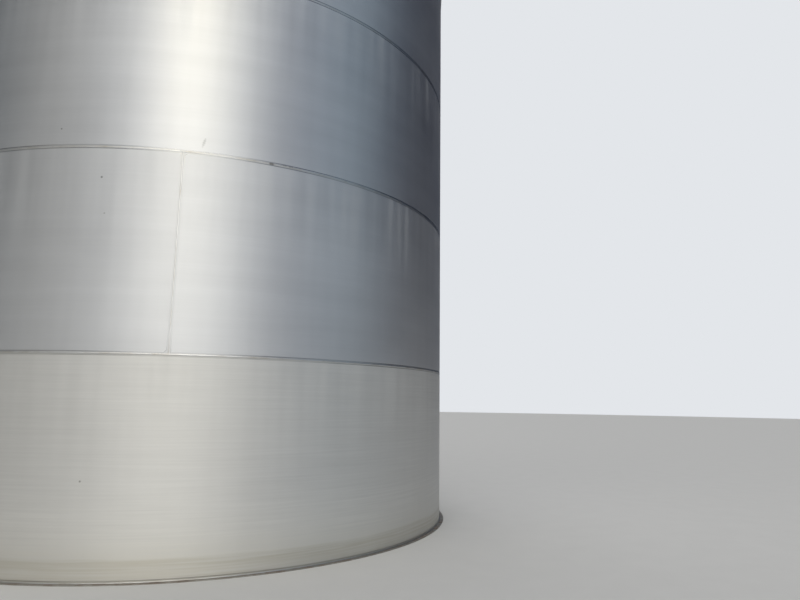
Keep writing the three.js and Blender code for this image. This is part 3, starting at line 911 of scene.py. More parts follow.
@dataclass(frozen=True)
class RolledPlate(Finish):
    """Cold-rolled stainless plate in a mill finish, left outdoors.

    It mirrors softly. Fine rolling lines run along the plate, so light spreads up and down more than
    sideways. Rain leaves pale, blurred streaks under a seam. The lowest course has a dull coat of dust,
    with a yellower splash line at the ground, and each weld has a thin line of heat tint on both sides.
    """

    name: str = "rolled_stainless_plate"
    steel: str = "#c9cacb"
    dust: str = "#dfdcd3"
    splash: str = "#9f977e"
    streak: str = "#cfd0d0"
    tint: str = "#46443f"
    roughness: float = 0.52
    anisotropy: float = 0.5
    line_pitch: float = 0.018  # real lines are under 1 mm apart: drawn coarse so that they show
    band_pitch: float = 0.16
    cloud_pitch: float = 0.7
    streak_pitch: float = 0.13
    dust_height: float = 0.9
    splash_height: float = 0.225
    tint_gap: float = 0.0145
    tint_reach: float = 0.007

    def sockets(self, add: Callable) -> dict[str, object]:
        """Adds the rolled pattern, the dust, the rain's streaks and the tint of heat.

        Args:
            add: adds a node to the material.

        Returns:
            What the sockets of its surface shader get.
        """
        at = add("UVMap", uv_map=SURFACE_MAP)
        mill = add("SeparateXYZ", (add("Attribute", out="Vector", attribute_name=MILL),)).node.outputs
        tone, coat, seed = (mill[axis] for axis in "XYZ")
        spot = add("VectorMath", (at, add("CombineXYZ", {"Z": seed})), operation="ADD")
        patterns = []
        for along, up, detail in (
            (0.9, self.line_pitch, 2.0),
            (4.0, self.band_pitch, 2.0),
            (self.cloud_pitch * 1.5, self.cloud_pitch, 3.0),
            (self.streak_pitch, 2.2, 1.0),
        ):
            stretched = add("VectorMath", (spot, (1 / along, 1 / up, 1.0)), operation="MULTIPLY")
            patterns.append(add("TexNoise", {"Vector": stretched, "Scale": 1.0, "Detail": detail}))
        lines, bands, clouds, streaks = patterns
        place = add("TexCoord", out="Object")
        ground = add("SeparateXYZ", (place,), out="Z")
        rise = add("SeparateXYZ", (at,), out="Y")
        wavy = add("Math", (clouds, 0.06, ground), operation="MULTIPLY_ADD")
        gap = add("Attribute", out="Fac", attribute_name=SEAM_GAP)
        half = COURSE_HEIGHT / 2
        beside, from_middle = (
            add("Math", (add("Math", (value, middle), operation="SUBTRACT"),), operation="ABSOLUTE")
            for value, middle in ((gap, self.tint_gap), (rise, half))
        )
        cells = add("TexVoronoi", {"Vector": spot, "Scale": 1.2})
        part = {}
        for key, value, start, end, low, high, blend in (
            ("wash", rise, COURSE_HEIGHT - 1.1, COURSE_HEIGHT - 0.05, 0.0, 1.0, "SMOOTHSTEP"),
            ("runs", streaks, 0.42, 0.78, 0.0, 1.0, "SMOOTHSTEP"),
            ("dust", wavy, 0.0, self.dust_height, 1.0, 0.0, "SMOOTHSTEP"),
            ("patchy", clouds, 0.3, 0.7, 0.55, 1.0, "LINEAR"),
            ("splash", wavy, 0.0, 0.5, 1.0, 0.0, "SMOOTHSTEP"),
            ("crest", wavy, self.splash_height - 0.03, self.splash_height, 1.0, 0.0, "SMOOTHSTEP"),
            ("lapped", bands, 0.3, 0.65, 0.5, 1.0, "LINEAR"),
            ("streaky", lines, 0.35, 0.6, 0.45, 1.0, "LINEAR"),
            ("line", beside, 0.0, self.tint_reach, 1.0, 0.0, "SMOOTHSTEP"),
            ("uneven", clouds, 0.3, 0.6, 0.35, 1.0, "LINEAR"),
            ("girth", from_middle, half - 0.3, half - 0.05, 0.3, 1.0, "LINEAR"),
            ("haze", gap, 0.0, 0.035, 0.10, 0.0, "SMOOTHSTEP"),
            ("fleck", cells, 0.006, 0.014, 0.6, 0.0, "LINEAR"),
        ):
            part[key] = add("MapRange", (value, start, end, low, high), interpolation_type=blend)
        splash = add("Math", (part["splash"], 0.55), operation="MULTIPLY")
        part["splash"] = add("Math", (part["crest"], 0.45, splash), operation="MULTIPLY_ADD")
        for result, one, other in (
            ("washed", "wash", "runs"),
            ("dust", "dust", "patchy"),
            ("splash", "splash", "lapped"),
            ("splash", "splash", "streaky"),
            ("line", "line", "uneven"),
            ("line", "line", "girth"),
        ):
            part[result] = add("Math", (part[one], part[other]), operation="MULTIPLY")
        washed, line = part["washed"], part["line"]
        film = add("Math", (part["dust"], 0.25, coat), operation="MULTIPLY_ADD", use_clamp=True)
        burnt = add("Math", (line, 0.58, part["haze"]), operation="MULTIPLY_ADD")
        for mark in (part["fleck"], knocked(add, place)):
            burnt = add("Math", (burnt, mark), operation="MAXIMUM")
        veil = add("Math", (streaks, -0.5), operation="ADD")
        reach = add("Math", (part["wash"], 0.20, 0.06), operation="MULTIPLY_ADD")
        level = add("Math", (lines, -0.5), operation="ADD")
        grip = add("Math", (film, 0.22, 0.05), operation="MULTIPLY_ADD")
        spared = add("Math", (coat, 0.0), operation="MINIMUM")
        base = add("Math", (tone, 0.86), operation="ADD")
        sums = {}
        for key, total, terms in (
            ("shade", base, ((bands, 0.12), (clouds, 0.20), (veil, reach))),
            ("rolled", 1.0, ((level, grip),)),
            (
                "rough",
                self.roughness - 0.045,
                ((lines, 0.03), (clouds, 0.06), (washed, 0.06), (film, 0.12), (spared, 0.4), (line, -0.28)),
            ),
            ("metal", 1.0, ((film, -0.55), (washed, -0.05))),
            ("relief", lines, ((bands, 8.0),)),
        ):
            for value, weight in terms:
                total = add("Math", (value, weight, total), operation="MULTIPLY_ADD")
            sums[key] = total
        colour = add("VectorMath", (linear(self.steel)[:3], sums["shade"]), operation="SCALE")
        for factor, hex_colour, share in (
            (washed, self.streak, 0.30),
            (film, self.dust, 1.0),
            (part["splash"], self.splash, 0.55),
            (burnt, self.tint, 1.0),
        ):
            amount = add("Math", (factor, share), operation="MULTIPLY")
            colour = add("Mix", (amount, colour, linear(hex_colour)), data_type="RGBA")
        return {
            "Base Color": add("VectorMath", (colour, sums["rolled"]), operation="SCALE"),
            "Metallic": sums["metal"],
            "Roughness": sums["rough"],
            "Normal": add("Bump", {"Strength": 0.25, "Distance": 0.0002, "Height": sums["relief"]}),
            "Tangent": add("Tangent", direction_type="UV_MAP", uv_map=SURFACE_MAP),
            "Anisotropic": self.anisotropy,
            "Anisotropic Rotation": 0.25,
        }


@dataclass(frozen=True)
class SteelFinish(Finish):
    """Stainless steel in a satin, pickled or turned finish.

    It mirrors softly, with a fine grain in one direction, faint clouds of tone and a dusty film in
    places.
    """

    steel: str
    roughness: float
    grain: Grain = Grain.SURFACE
    grain_length: float = 0.12
    grain_pitch: float = 0.0025
    grain_depth: float = 0.00008
    cloud_pitch: float = 0.18
    cloud_weight: float = 0.22
    soil: str = "#8d8570"
    film: float = 0.0  # soil all over
    soil_weight: float = 0.25  # more of it in patches
    anisotropy: float = 0.0

    def sockets(self, add: Callable) -> dict[str, object]:
        """Adds the grain, the clouds of tone and the film.

        Args:
            add: adds a node to the material.

        Returns:
            What the sockets of its surface shader get.
        """
        place = add("TexCoord", out="Object")
        at = add("UVMap", uv_map=SURFACE_MAP) if self.grain is Grain.SURFACE else place
        scale = (1 / self.grain_length, 1 / self.grain_pitch, 1 / self.grain_pitch)
        stretched = add("VectorMath", (at, scale), operation="MULTIPLY")
        grain, clouds, patches = (
            add("TexNoise", {"Vector": vector, "Scale": closeness, "Detail": detail})
            for vector, closeness, detail in (
                (stretched, 1.0, 2.0),
                (place, 1 / self.cloud_pitch, 4.0),
                (place, 2.3 / self.cloud_pitch, 5.0),
            )
        )
        soil = add("MapRange", (patches, 0.42, 0.8, self.film, self.film + self.soil_weight))
        sums = []
        for total, terms in (
            (0.82, ((grain, 0.14), (clouds, self.cloud_weight))),
            (self.roughness - 0.08, ((grain, 0.10), (clouds, 0.08), (soil, 0.5))),
            (1.0, ((soil, -0.8),)),
        ):
            for value, weight in terms:
                total = add("Math", (value, weight, total), operation="MULTIPLY_ADD")
            sums.append(total)
        shade, rough, metal = sums
        colour = add("VectorMath", (linear(self.steel)[:3], shade), operation="SCALE")
        sockets = {
            "Base Color": add("Mix", (soil, colour, linear(self.soil)), data_type="RGBA"),
            "Metallic": metal,
            "Roughness": rough,
            "Normal": add("Bump", {"Strength": 0.35, "Distance": self.grain_depth, "Height": grain}),
        }
        if self.anisotropy:
            sockets["Anisotropic"] = self.anisotropy
            sockets["Tangent"] = add("Tangent", direction_type="UV_MAP", uv_map=SURFACE_MAP)
        return sockets


@dataclass(frozen=True)
class WeldMetal(Finish):
    """An arc-welded stainless bead, brushed but not ground.

    Fine ripples cross it, and its tone shifts between grey and straw along its length.
    """

    name: str = "stainless_weld_bead"
    steel: str = "#c2c2c0"
    straw: str = "#a69f92"
    stain: str = "#3f3a33"
    roughness: float = 0.36
    ripple_pitch: float = 0.006  # real ripples are 2 to 3 mm apart: drawn coarse so that they show

    def sockets(self, add: Callable) -> dict[str, object]:
        """Adds the ripples, the straw tone and the stains.

        Args:
            add: adds a node to the material.

        Returns:
            What the sockets of its surface shader get.
        """
        run = add("Attribute", out="Fac", attribute_name=BEAD_RUN)
        place = add("TexCoord", out="Object")
        drift = add("TexNoise", {"Vector": place, "Scale": 6.0, "Detail": 5.0})
        jitter = add("Math", (drift, 40.0), operation="MULTIPLY")
        turns = add("Math", (run, math.tau / self.ripple_pitch, jitter), operation="MULTIPLY_ADD")
        ripple = add("Math", (turns,), operation="SINE")
        strawed = add("MapRange", (drift, 0.45, 0.7, 0.0, 0.6))
        colour = linear(self.steel)
        for factor, hex_colour in ((strawed, self.straw), (knocked(add, place), self.stain)):
            colour = add("Mix", (factor, colour, linear(hex_colour)), data_type="RGBA")
        return {
            "Base Color": colour,
            "Metallic": 1.0,
            "Roughness": add("Math", (drift, 0.2, self.roughness - 0.1), operation="MULTIPLY_ADD"),
            "Normal": add("Bump", {"Strength": 0.4, "Distance": 0.0003, "Height": ripple}),
        }


@dataclass(frozen=True)
class SheetRubber(Finish):
    """Cut sheet rubber, as gaskets are: dull, almost black, with a chalky bloom."""

    name: str = "gasket_rubber"
    rubber: str = "#1d1d1e"
    bloom: str = "#4a4a48"
    roughness: float = 0.78

    def sockets(self, add: Callable) -> dict[str, object]:
        """Adds the bloom.

        Args:
            add: adds a node to the material.

        Returns:
            What the sockets of its surface shader get.
        """
        bloom = add("TexNoise", {"Vector": add("TexCoord", out="Object"), "Scale": 60.0, "Detail": 4.0})
        share = add("MapRange", (bloom, 0.45, 0.8))
        return {
            "Base Color": add("Mix", (share, linear(self.rubber), linear(self.bloom)), data_type="RGBA"),
            "Roughness": self.roughness,
            "Normal": add("Bump", {"Strength": 0.2, "Distance": 0.0003, "Height": bloom}),
        }


@dataclass(frozen=True)
class MattFloor(Finish):
    """A plain matt floor with a faint speckle."""

    name: str = "matt_floor"
    colour: str = "#dad8d5"
    roughness: float = 0.8

    def sockets(self, add: Callable) -> dict[str, object]:
        """Adds the speckle.

        Args:
            add: adds a node to the material.

        Returns:
            What the sockets of its surface shader get.
        """
        speckle = add("TexNoise", {"Vector": add("TexCoord", out="Object"), "Scale": 3.0, "Detail": 6.0})
        shade = add("Math", (speckle, 0.06, 0.97), operation="MULTIPLY_ADD")
        colour = add("VectorMath", (linear(self.colour)[:3], shade), operation="SCALE")
        return {"Base Color": colour, "Roughness": self.roughness}


class Finishes:
    """The tank's materials, each built once."""

    def __init__(self) -> None:
        """Builds every material."""
        self.shell = RolledPlate().material()
        # pickled sheet: pale and even, dulled all over by dust that the rain leaves
        self.roof = SteelFinish(
            "pickled_roof_plate", "#c2c4c5", 0.48, grain_length=0.9, grain_pitch=0.012, cloud_pitch=0.6,
            soil="#b7b3a8", film=0.42, soil_weight=0.22,
        ).material()
        # plate on wet ground: the same steel under brown stains
        self.chime = SteelFinish(
            "stained_bottom_plate", "#a3a09a", 0.5, grain_length=0.4, grain_pitch=0.01, cloud_pitch=0.25,
            soil="#6d5138", soil_weight=0.85,
        ).material()
        # rolled angle: an even grey with a faint grain along it
        self.angle = SteelFinish(
            "rolled_angle", "#b4b6b7", 0.42, grain_length=0.6, grain_pitch=0.006
        ).material()
        # forgings turned on a lathe: fine rings that draw a highlight out into a fan
        self.forging = SteelFinish(
            "turned_flange", "#bdbfc0", 0.34, grain_length=0.5, grain_pitch=0.002,
            soil="#a8a396", film=0.12, soil_weight=0.14, anisotropy=0.35,
        ).material()
        # satin tube: a soft highlight along it, with no visible direction
        self.tube = SteelFinish(
            "satin_tube", "#b9bbbc", 0.36, Grain.PLACE, grain_length=0.004, grain_pitch=0.004
        ).material()
        # flat bar: a brushed grain along it, darker and duller than the tube
        self.bar = SteelFinish("flat_bar", "#adb0b1", 0.42, grain_length=0.25).material()
        # cold-forged bolts: brighter than what they hold
        self.bolt = SteelFinish(
            "bolt_steel", "#c4c5c4", 0.3, Grain.PLACE, grain_length=0.006, grain_pitch=0.006, cloud_pitch=0.08
        ).material()
        self.weld = WeldMetal().material()
        self.rubber = SheetRubber().material()


@dataclass
class Tools:
    """The recipes and finishes that every sub-assembly uses."""

    finishes: Finishes
    beads: WeldBeads
    bars: BentBars
    bolts: Bolts
    rows: Rows
    plates: FormedPlates


@dataclass
class Assembly:
    """A sub-assembly of the tank, with the tools that make it."""

    slot: ClassVar[Slot] = Slot.FITTING
    tools: Tools

    def build(self) -> None:
        """Builds every piece."""
        raise NotImplementedError

    def hang(
        self, name: str, form: Blank | Mesh, material: Material, node: str = "", sharp: float = 32
    ) -> None:
        """Puts a finished piece in the scene, parented to the tank's body.

        Args:
            name: the piece's name.
            form: its blank or its mesh, in place.
            material: its finish.
            node: the CAD node that it stands for, if it stands for one.
            sharp: the angle in degrees from which an edge stays sharp.
        """
        mesh = form.mesh(name) if isinstance(form, Blank) else form
        mesh.materials.clear()
        mesh.materials.append(material)
        mesh.shade_smooth()
        mesh.set_sharp_from_angle(angle=math.radians(sharp))
        piece = put_in_scene(name, mesh)
        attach(piece, BODY)
        if node:
            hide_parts(node)
        mesh.calc_loop_triangles()
        log.info("%s: %d triangles", name, len(mesh.loop_triangles))

    def weld(
        self, name: str, paths: Sequence[Path], width: float, crown: float = 0.0, step: float = 0.03
    ) -> None:
        """Lays a weld.

        Args:
            name: the piece's name.
            paths: the lines of its beads.
            width: a bead's width.
            crown: a bead's height, or 0 for half of its width.
            step: the distance between a bead's points.
        """
        beads = self.tools.beads.lay(paths, width, crown or width / 2, step)
        self.hang(name, beads, self.tools.finishes.weld, sharp=60)


@dataclass
class Shell(Assembly):
    """The tank's wall: rolled plates in courses, and the welds between them."""

    slot = Slot.SHELL
    letters: str = "abc"
    sweep: float = 120.0
    stagger: float = 80.0
    forming: Forming = Forming((161, 49), SHELL_THICKNESS, (0.0016, 1.6), (0.0012, 0.0006, 0.07))
    bead_width: float = 0.016
    bead_crown: float = 0.0018
    upright_share: float = 0.75  # of the girth welds' width and crown
    # tone, dust film and pattern seed of each plate, from the foot up; a film below zero is extra gloss
    mills: tuple = (
        ((0.0, 0.42, 3.0), (0.01, 0.44, 11.0), (0.01, 0.43, 5.0)),
        ((0.03, 0.02, 7.0), (-0.02, 0.03, 13.0), (0.0, 0.02, 17.0)),
        ((0.0, -0.10, 19.0), (0.02, -0.09, 23.0), (0.0, -0.10, 29.0)),
        ((0.01, -0.10, 31.0), (-0.02, -0.09, 37.0), (-0.01, -0.10, 41.0)),
    )

    def build(self) -> None:
        """Builds the plates and the welds."""
        rings, sides = [], []
        for course, mills in enumerate(self.mills):
            low = BOTTOM_THICKNESS + course * COURSE_HEIGHT
            foot, head = (SHELL_RADIUS, low), (SHELL_RADIUS, low + COURSE_HEIGHT)
            tops = []
            for i, (letter, mill) in enumerate(zip(self.letters, mills)):
                start = FIRST_WELD + (self.stagger if course % 2 == 0 else 0) + i * self.sweep
                mesh = self.tools.plates.form(foot, head, start, self.sweep, mill, self.forming)
                top, side = self.find_edges(mesh, start)
                tops.append(top[:-1])
                sides.append(self.seam(side))
                name = f"shell_course_{course + 1}_plate_{letter}"
                self.hang(f"{name}_rolled", mesh, self.tools.finishes.shell, name)
            rings.append(self.seam(np.concatenate(tops), closed=True))
        for i, seam in enumerate(rings[:-1]):
            self.weld(f"girth_weld_{i + 1}", [seam], self.bead_width, self.bead_crown)
        width, crown = (self.upright_share * size for size in (self.bead_width, self.bead_crown))
        self.weld("upright_welds", sides, width, crown)

    def find_edges(self, mesh: Mesh, start: float) -> tuple[np.ndarray, np.ndarray]:
        """Finds the outer edges of a plate.

        Args:
            mesh: the plate.
            start: place of its first upright edge.

        Returns:
            The points along its top from that edge on, and those up the edge.
        """
        points, distance, turn = read_points(mesh, start)
        outer = distance > SHELL_RADIUS - SHELL_THICKNESS / 2
        top = outer & (points[:, 2] > points[:, 2].max() - 1e-4)
        side = outer & (np.abs(turn) < 0.01)
        return points[top][np.argsort(turn[top])], points[side][np.argsort(points[side, 2])]

    def seam(self, points: np.ndarray, closed: bool = False) -> Path:
        """A path that faces straight out from the tank's axis."""
        away = points * (1, 1, 0)
        return Path(points, away / np.linalg.norm(away, axis=1)[:, None], closed)


@dataclass
class BottomPlate(Assembly):
    """The flat bottom, whose rim stands out round the shell, and the weld in the corner."""

    slot = Slot.SHELL
    rim: float = 3.326
    bead: float = 0.012

    def build(self) -> None:
        """Builds the plate and its corner weld."""
        plate = Blank().turn(ring(0, self.rim, 0, BOTTOM_THICKNESS), soft=0.0015, sides=480)
        self.hang("bottom_plate_rimmed", plate, self.tools.finishes.chime, "bottom_plate")
        self.weld("bottom_weld", [circle(SHELL_RADIUS, BOTTOM_THICKNESS, 480)], self.bead)


@dataclass
class Curb(Assembly):
    """The angle round the top of the shell."""

    leg: float = 0.065

    def build(self) -> None:
        """Builds the rolled angle."""
        inner, seat = SHELL_RADIUS + FIT, SHELL_TOP + FIT
        outer, top, low = inner + CURB_THICKNESS, seat + CURB_THICKNESS, SHELL_TOP - self.leg
        toe = outer - self.leg
        section = [(inner, low), (outer, low), (outer, top), (toe, top), (toe, seat), (inner, seat)]
        curb = Blank().turn(section, soft=0.0025, sides=480)
        self.hang("curb_angle_rolled", curb, self.tools.finishes.angle, "curb_angle")


@dataclass
class Roof(Assembly):
    """The low cone of gores with its crown plate."""

    slot = Slot.ROOF
    crown_radius: float = 0.32
    sweep: float = 60.0
    forming: Forming = Forming((49, 61), ROOF_THICKNESS, (0.005, 1.1), (0.0, 0.001, 0.08))
    bead_width: float = 0.014
    bead_crown: float = 0.002
    edge_bead: float = 0.008
    # tone, dust film and pattern seed of each gore
    mills: tuple = (
        (0.0, 0.0, 51.0), (0.03, 0.0, 53.0), (-0.03, 0.0, 57.0),
        (0.01, 0.0, 59.0), (-0.02, 0.0, 61.0), (0.02, 0.0, 67.0),
    )

    def build(self) -> None:
        """Builds the gores, the crown plate and the welds."""
        seams = [self.build_gore(i, mill) for i, mill in enumerate(self.mills)]
        self.weld("roof_welds", seams, self.bead_width, self.bead_crown)
        self.build_crown()
        rings = [
            circle(SHELL_RADIUS + FIT + 0.001, SHELL_TOP - Curb.leg, 480),
            circle(ROOF_EDGE - 0.001, ROOF_LOW + 0.001, 480),
            circle(self.crown_radius, roof_top(self.crown_radius) + 0.001),
        ]
        self.weld("roof_edge_welds", rings, self.edge_bead)

    def build_gore(self, i: int, mill: tuple[float, float, float]) -> Path:
        """Builds one gore.

        Args:
            i: how many gores come before it.
            mill: its tone, dust film and pattern seed.

        Returns:
            Its first radial seam.
        """
        start = FIRST_WELD + i * self.sweep
        edge, eye = ((radius, roof_top(radius)) for radius in (ROOF_EDGE, ROOF_EYE))
        mesh = self.tools.plates.form(edge, eye, start, self.sweep, mill, self.forming)
        points, distance, turn = read_points(mesh, start)
        height = points[:, 2]
        outer = (height > roof_top(distance) - 0.004) & (distance > self.crown_radius - 0.05)
        seam = points[outer & (np.abs(turn) < 0.02)]
        node = f"roof_gore_{i + 1}"
        self.hang(f"{node}_formed", mesh, self.tools.finishes.roof, node)
        return Path(seam[np.argsort(seam[:, 2])])

    def build_crown(self) -> None:
        """Builds the ring that closes the gores' open middle round the vent."""
        eye, rim = Vent.radius + FIT, self.crown_radius
        high, low = roof_top(eye) + FIT, roof_top(rim) + FIT
        section = [(eye, high), (rim, low), (rim, low + ROOF_THICKNESS), (eye, high + ROOF_THICKNESS)]
        crown = Blank().turn(section, soft=0.001, sides=120)
        self.hang("roof_crown_ring", crown, self.tools.finishes.angle, "roof_crown_plate")


@dataclass
class Vent(Assembly):
    """The open vent in the middle of the roof, under a weather cap on three legs."""

    radius: float = 0.1095
    wall: float = 0.005
    below: float = 0.09
    rise: float = 0.26
    cap_radius: float = 0.215
    sheet: float = 0.004
    gap: float = 0.045
    peak: float = 0.06
    skirt: float = 0.1
    bead: float = 0.012

    def build(self) -> None:
        """Builds the neck and the cap."""
        finishes = self.tools.finishes
        top = roof_top(0) + self.rise
        tube = ring(self.radius - self.wall, self.radius, roof_top(0) - self.below, top)
        neck = Blank(LEVEL).turn(tube, soft=0.0012, sides=72)
        self.hang("vent_neck_tube", neck, finishes.tube, "vent_neck")
        foot = circle(self.radius + 0.001, roof_top(self.radius) + 0.0063, 72)
        self.weld("vent_weld", [foot], self.bead, step=0.015)
        eave = top + self.gap
        crest, rim = eave + self.peak, eave - self.skirt
        outer, inner = self.cap_radius, self.cap_radius - self.sheet
        shade = [
            (0, crest),
            (inner - 0.012, eave + 0.004),
            (inner, eave - 0.006),
            (inner, rim + 0.006),
            (inner - 0.002, rim + 0.003),
            (outer - self.sheet / 2, rim),
            (outer + 0.001, rim + 0.003),
            (outer, rim + 0.008),
            (outer, eave - 0.004),
            (outer - 0.010, eave + self.sheet + 0.004),
            (0, crest + self.sheet),
        ]
        cap = Blank(LEVEL).turn(shade, soft=0.004)
        for angle in (0, 120, 240):
            low = (-0.003, 0.002 - outer, top + FIT)
            cap.block(low, (0.003, 0.012 - self.radius, eave + 0.004), standing_up(angle), 0.0008)
        self.hang("vent_weather_cap", cap, finishes.forging, "vent_cap")


@dataclass
class ShellNozzle(Assembly):
    """A flanged neck on the shell, closed by a bolted cover on a gasket."""

    name: str
    cover_node: str
    angle: float
    height: float
    radius: float
    wall: float
    reach: float
    flange_radius: float
    flange: float
    cover: float
    bolt_count: int
    bolt_circle: float
    bolt_shank: float
    inside: float = 0.04
    gasket: float = 0.003
    hub: tuple = (0.009, 0.010)

    @property
    def place(self) -> Matrix:
        """The nozzle's frame, Z straight out."""
        return facing_out(self.angle, self.height)

    @property
    def face(self) -> float:
        """Distance from the tank's axis to the middle of the joint."""
        return SHELL_FLAT + self.reach

    def build(self) -> None:
        """Builds neck, cover, gasket, bolts and welds."""
        finishes, place, face = self.tools.finishes, self.place, self.face
        inner, rim = self.radius - self.wall, self.flange_radius
        low, high = face - self.gasket / 2, face + self.gasket / 2
        foot = SHELL_FLAT - self.inside
        section = flanged(inner, self.radius, rim, foot, face - self.flange, low, self.hub)
        neck = Blank().turn(section, place, 0.002)
        self.hang(f"{self.name}_neck_flanged", neck, finishes.forging, f"{self.name}_neck")
        front = face + FIT + self.cover
        cover = Blank().turn(ring(0, rim, high, front), place, 0.0025)
        self.dress_cover(cover, front)
        self.hang(f"{self.cover_node}_bolted", cover, finishes.forging, self.cover_node)
        seal = ring(inner + 0.004, self.bolt_circle - 1.6 * self.bolt_shank, low, high)
        self.hang(f"{self.name}_gasket", Blank().turn(seal, place), finishes.rubber)
        grip = self.flange + self.cover
        bolts = self.tools.bolts.ring(self.bolt_count, self.bolt_circle, self.bolt_shank, grip)
        bolts.transform(place @ moved(z=face + (self.cover - self.flange) / 2))
        self.hang(f"{self.name}_bolts", bolts, finishes.bolt)
        self.lay_welds()

    def dress_cover(self, cover: Blank, face: float) -> None:
        """Adds a shallow raised middle to the cover."""
        middle = ring(0, 0.45 * self.flange_radius, face - 0.002, face + 0.0015)
        cover.turn(middle, self.place, 0.0015)

    def lay_welds(self) -> None:
        """Lays the weld between neck and shell."""
        self.weld(f"{self.name}_weld", [on_shell(self.place, self.radius + 0.001)], 0.014, step=0.02)


@dataclass
class ShellManway(ShellNozzle):
    """The manway near the ground: a nozzle with a doubler plate, handles and a davit."""

    doubler_radius: float = 0.56
    doubler: float = 0.005
    handle_side: float = 0.17
    handle_half: float = 0.08
    eye_height: float = 0.358
    socket_stand: float = 0.034
    headroom: float = 0.09
    hook_stand: float = 0.023

    def build(self) -> None:
        """Builds the nozzle, its doubler plate and its davit."""
        super().build()
        self.build_doubler()
        self.build_davit()

    def dress_cover(self, cover: Blank, face: float) -> None:
        """Adds two handles on turned feet, a lifting eye and its ring.

        Args:
            cover: the cover.
            face: height of its outer face in the nozzle's frame.
        """
        bars, place = self.tools.bars, self.place
        foot = [(0, face - 0.001), (0.015, face - 0.001), (0.009, face + 0.006), (0, face + 0.006)]
        for x in (-self.handle_side, self.handle_side):
            for y in (-self.handle_half, self.handle_half):
                cover.turn(foot, place @ moved(x, y), sides=20)
        handles = bars.handles(self.handle_side, self.handle_half, face, 0.055, 0.022)
        cover.absorb(handles, place)
        eye = self.eye_height
        cover.block((-0.006, eye - 0.046, face - 0.002), (0.006, eye + 0.004, face + 0.046), place, 0.004)
        hoop = Path([(0, eye + y, face + 0.023 + x) for x, y in around(24, 0.017)], closed=True)
        cover.absorb(bars.bend([hoop], 0.004, 0.0, 10), place)

    def build_doubler(self) -> None:
        """Builds the round doubler plate, curved to the shell."""
        inner, rim, thick = self.radius + FIT, self.doubler_radius, self.doubler
        corners = ((inner, FIT), (rim, FIT), (rim, thick - 0.0012), (rim - 0.0015, thick))
        levels = (*corners, (0.75 * rim, thick), (inner, thick))
        form = Blank().loft([on_shell(self.place, radius, stand).points for radius, stand in levels])
        self.hang("manway_doubler_curved", form, self.tools.finishes.angle, "manway_doubler")

    def lay_welds(self) -> None:
        """Lays the welds round the neck and the doubler plate."""
        rounds = ((self.radius + 0.001, self.doubler), (self.doubler_radius, 0.001))
        self.weld("manway_welds", [on_shell(self.place, *size) for size in rounds], 0.012, step=0.02)

    def build_davit(self) -> None:
        """Builds the socket beside the flange, the bent arm and its hook."""
        bars, place, rim = self.tools.bars, self.place, self.flange_radius
        side, top = rim + self.socket_stand, rim + self.headroom
        back, front = self.face - self.flange / 2, self.face + FIT + self.cover + self.hook_stand
        davit = Blank()
        for sleeve in (ring(0.0175, 0.032, -0.06, 0.06), ring(0.0165, 0.026, 0.061, 0.073)):
            davit.turn(sleeve, place @ moved(side, 0, back) @ UPWARD, 0.002, 36)
        davit.block((rim + FIT, -0.04, back - 0.008), (side - 0.02, 0.04, back + 0.008), place)
        arm = Path([(side, -0.055, back), (side, top, back), (0, top, front)])
        davit.absorb(bars.bend([arm], 0.017, 0.15, 20), place)
        hook = Path([(0, self.eye_height + 0.014, front), (0, top + 0.045, front)])
        davit.absorb(bars.bend([hook], 0.008, 0.0, 12), place)
        for low, high in ((top + 0.016, top + 0.030), (self.eye_height + 0.010, self.eye_height + 0.026)):
            davit.turn(ring(0, 0.015, low, high), place @ moved(z=front) @ UPWARD, sides=6)
        self.hang("manway_davit_arm", davit, self.tools.finishes.tube, "manway_davit")


@dataclass
class Drain(Assembly):
    """The drain near the ground: a coupling closed by a square-headed plug."""

    angle: float = 188.1
    height: float = 0.12
    radius: float = 0.030
    reach: float = 0.07
    collar_radius: float = 0.038
    collar: float = 0.045
    bore: float = 0.026
    head: float = 0.032
    head_length: float = 0.024
    bead: float = 0.01

    def build(self) -> None:
        """Builds the coupling, the plug and the weld."""
        place, face = facing_out(self.angle, self.height), SHELL_FLAT + self.reach
        foot, shoulder, half = SHELL_FLAT - 0.02, face - self.collar, self.head / 2
        section = [
            (0, foot), (self.radius, foot), (self.radius, shoulder), (self.collar_radius, shoulder),
            (self.collar_radius, face), (self.bore, face), (self.bore - 0.002, face - 0.003),
            (0, face - 0.003),
        ]
        drain = Blank().turn(section, place, 0.002, 48)
        drain.turn(ring(0, self.bore - 0.0025, face - 0.004, face + 0.003), place, 0.001, 48)
        drain.block((-half, -half, face), (half, half, face + self.head_length), place, 0.003)
        self.hang("drain_coupling_and_plug", drain, self.tools.finishes.forging, "drain_plug")
        self.weld("drain_weld", [on_shell(place, self.radius, 0.0, 48)], self.bead, step=0.01)


@dataclass
class GroundingLug(Assembly):
    """An upright tab near the base with a bolt for the earthing cable."""

    angle: float = 113.1
    low: float = 0.15
    high: float = 0.2
    stand: float = 0.07
    thickness: float = 0.008
    bolt_shank: float = 0.006
    bolt_inset: float = 0.022
    bead: float = 0.008

    def build(self) -> None:
        """Builds the tab, its bolt and its weld."""
        place = facing_out(self.angle)
        half, out = self.thickness / 2, SHELL_FLAT + self.stand
        tab = Blank().block((-half, self.low, SHELL_FLAT), (half, self.high, out), place, 0.0015)
        bolt = self.tools.bolts.set([(0, 0, 0)], self.bolt_shank, self.thickness)
        middle = moved(0, (self.low + self.high) / 2, out - self.bolt_inset)
        tab.absorb(bolt, place @ middle @ ACROSS)
        self.hang("grounding_lug_bolted", tab, self.tools.finishes.bar, "grounding_lug")
        corners = ((-half, self.low), (-half, self.high), (half, self.high), (half, self.low))
        foot = traced(place, [(*corner, SHELL_RADIUS) for corner in corners], closed=True)
        self.weld("grounding_lug_weld", [foot], self.bead, step=0.006)


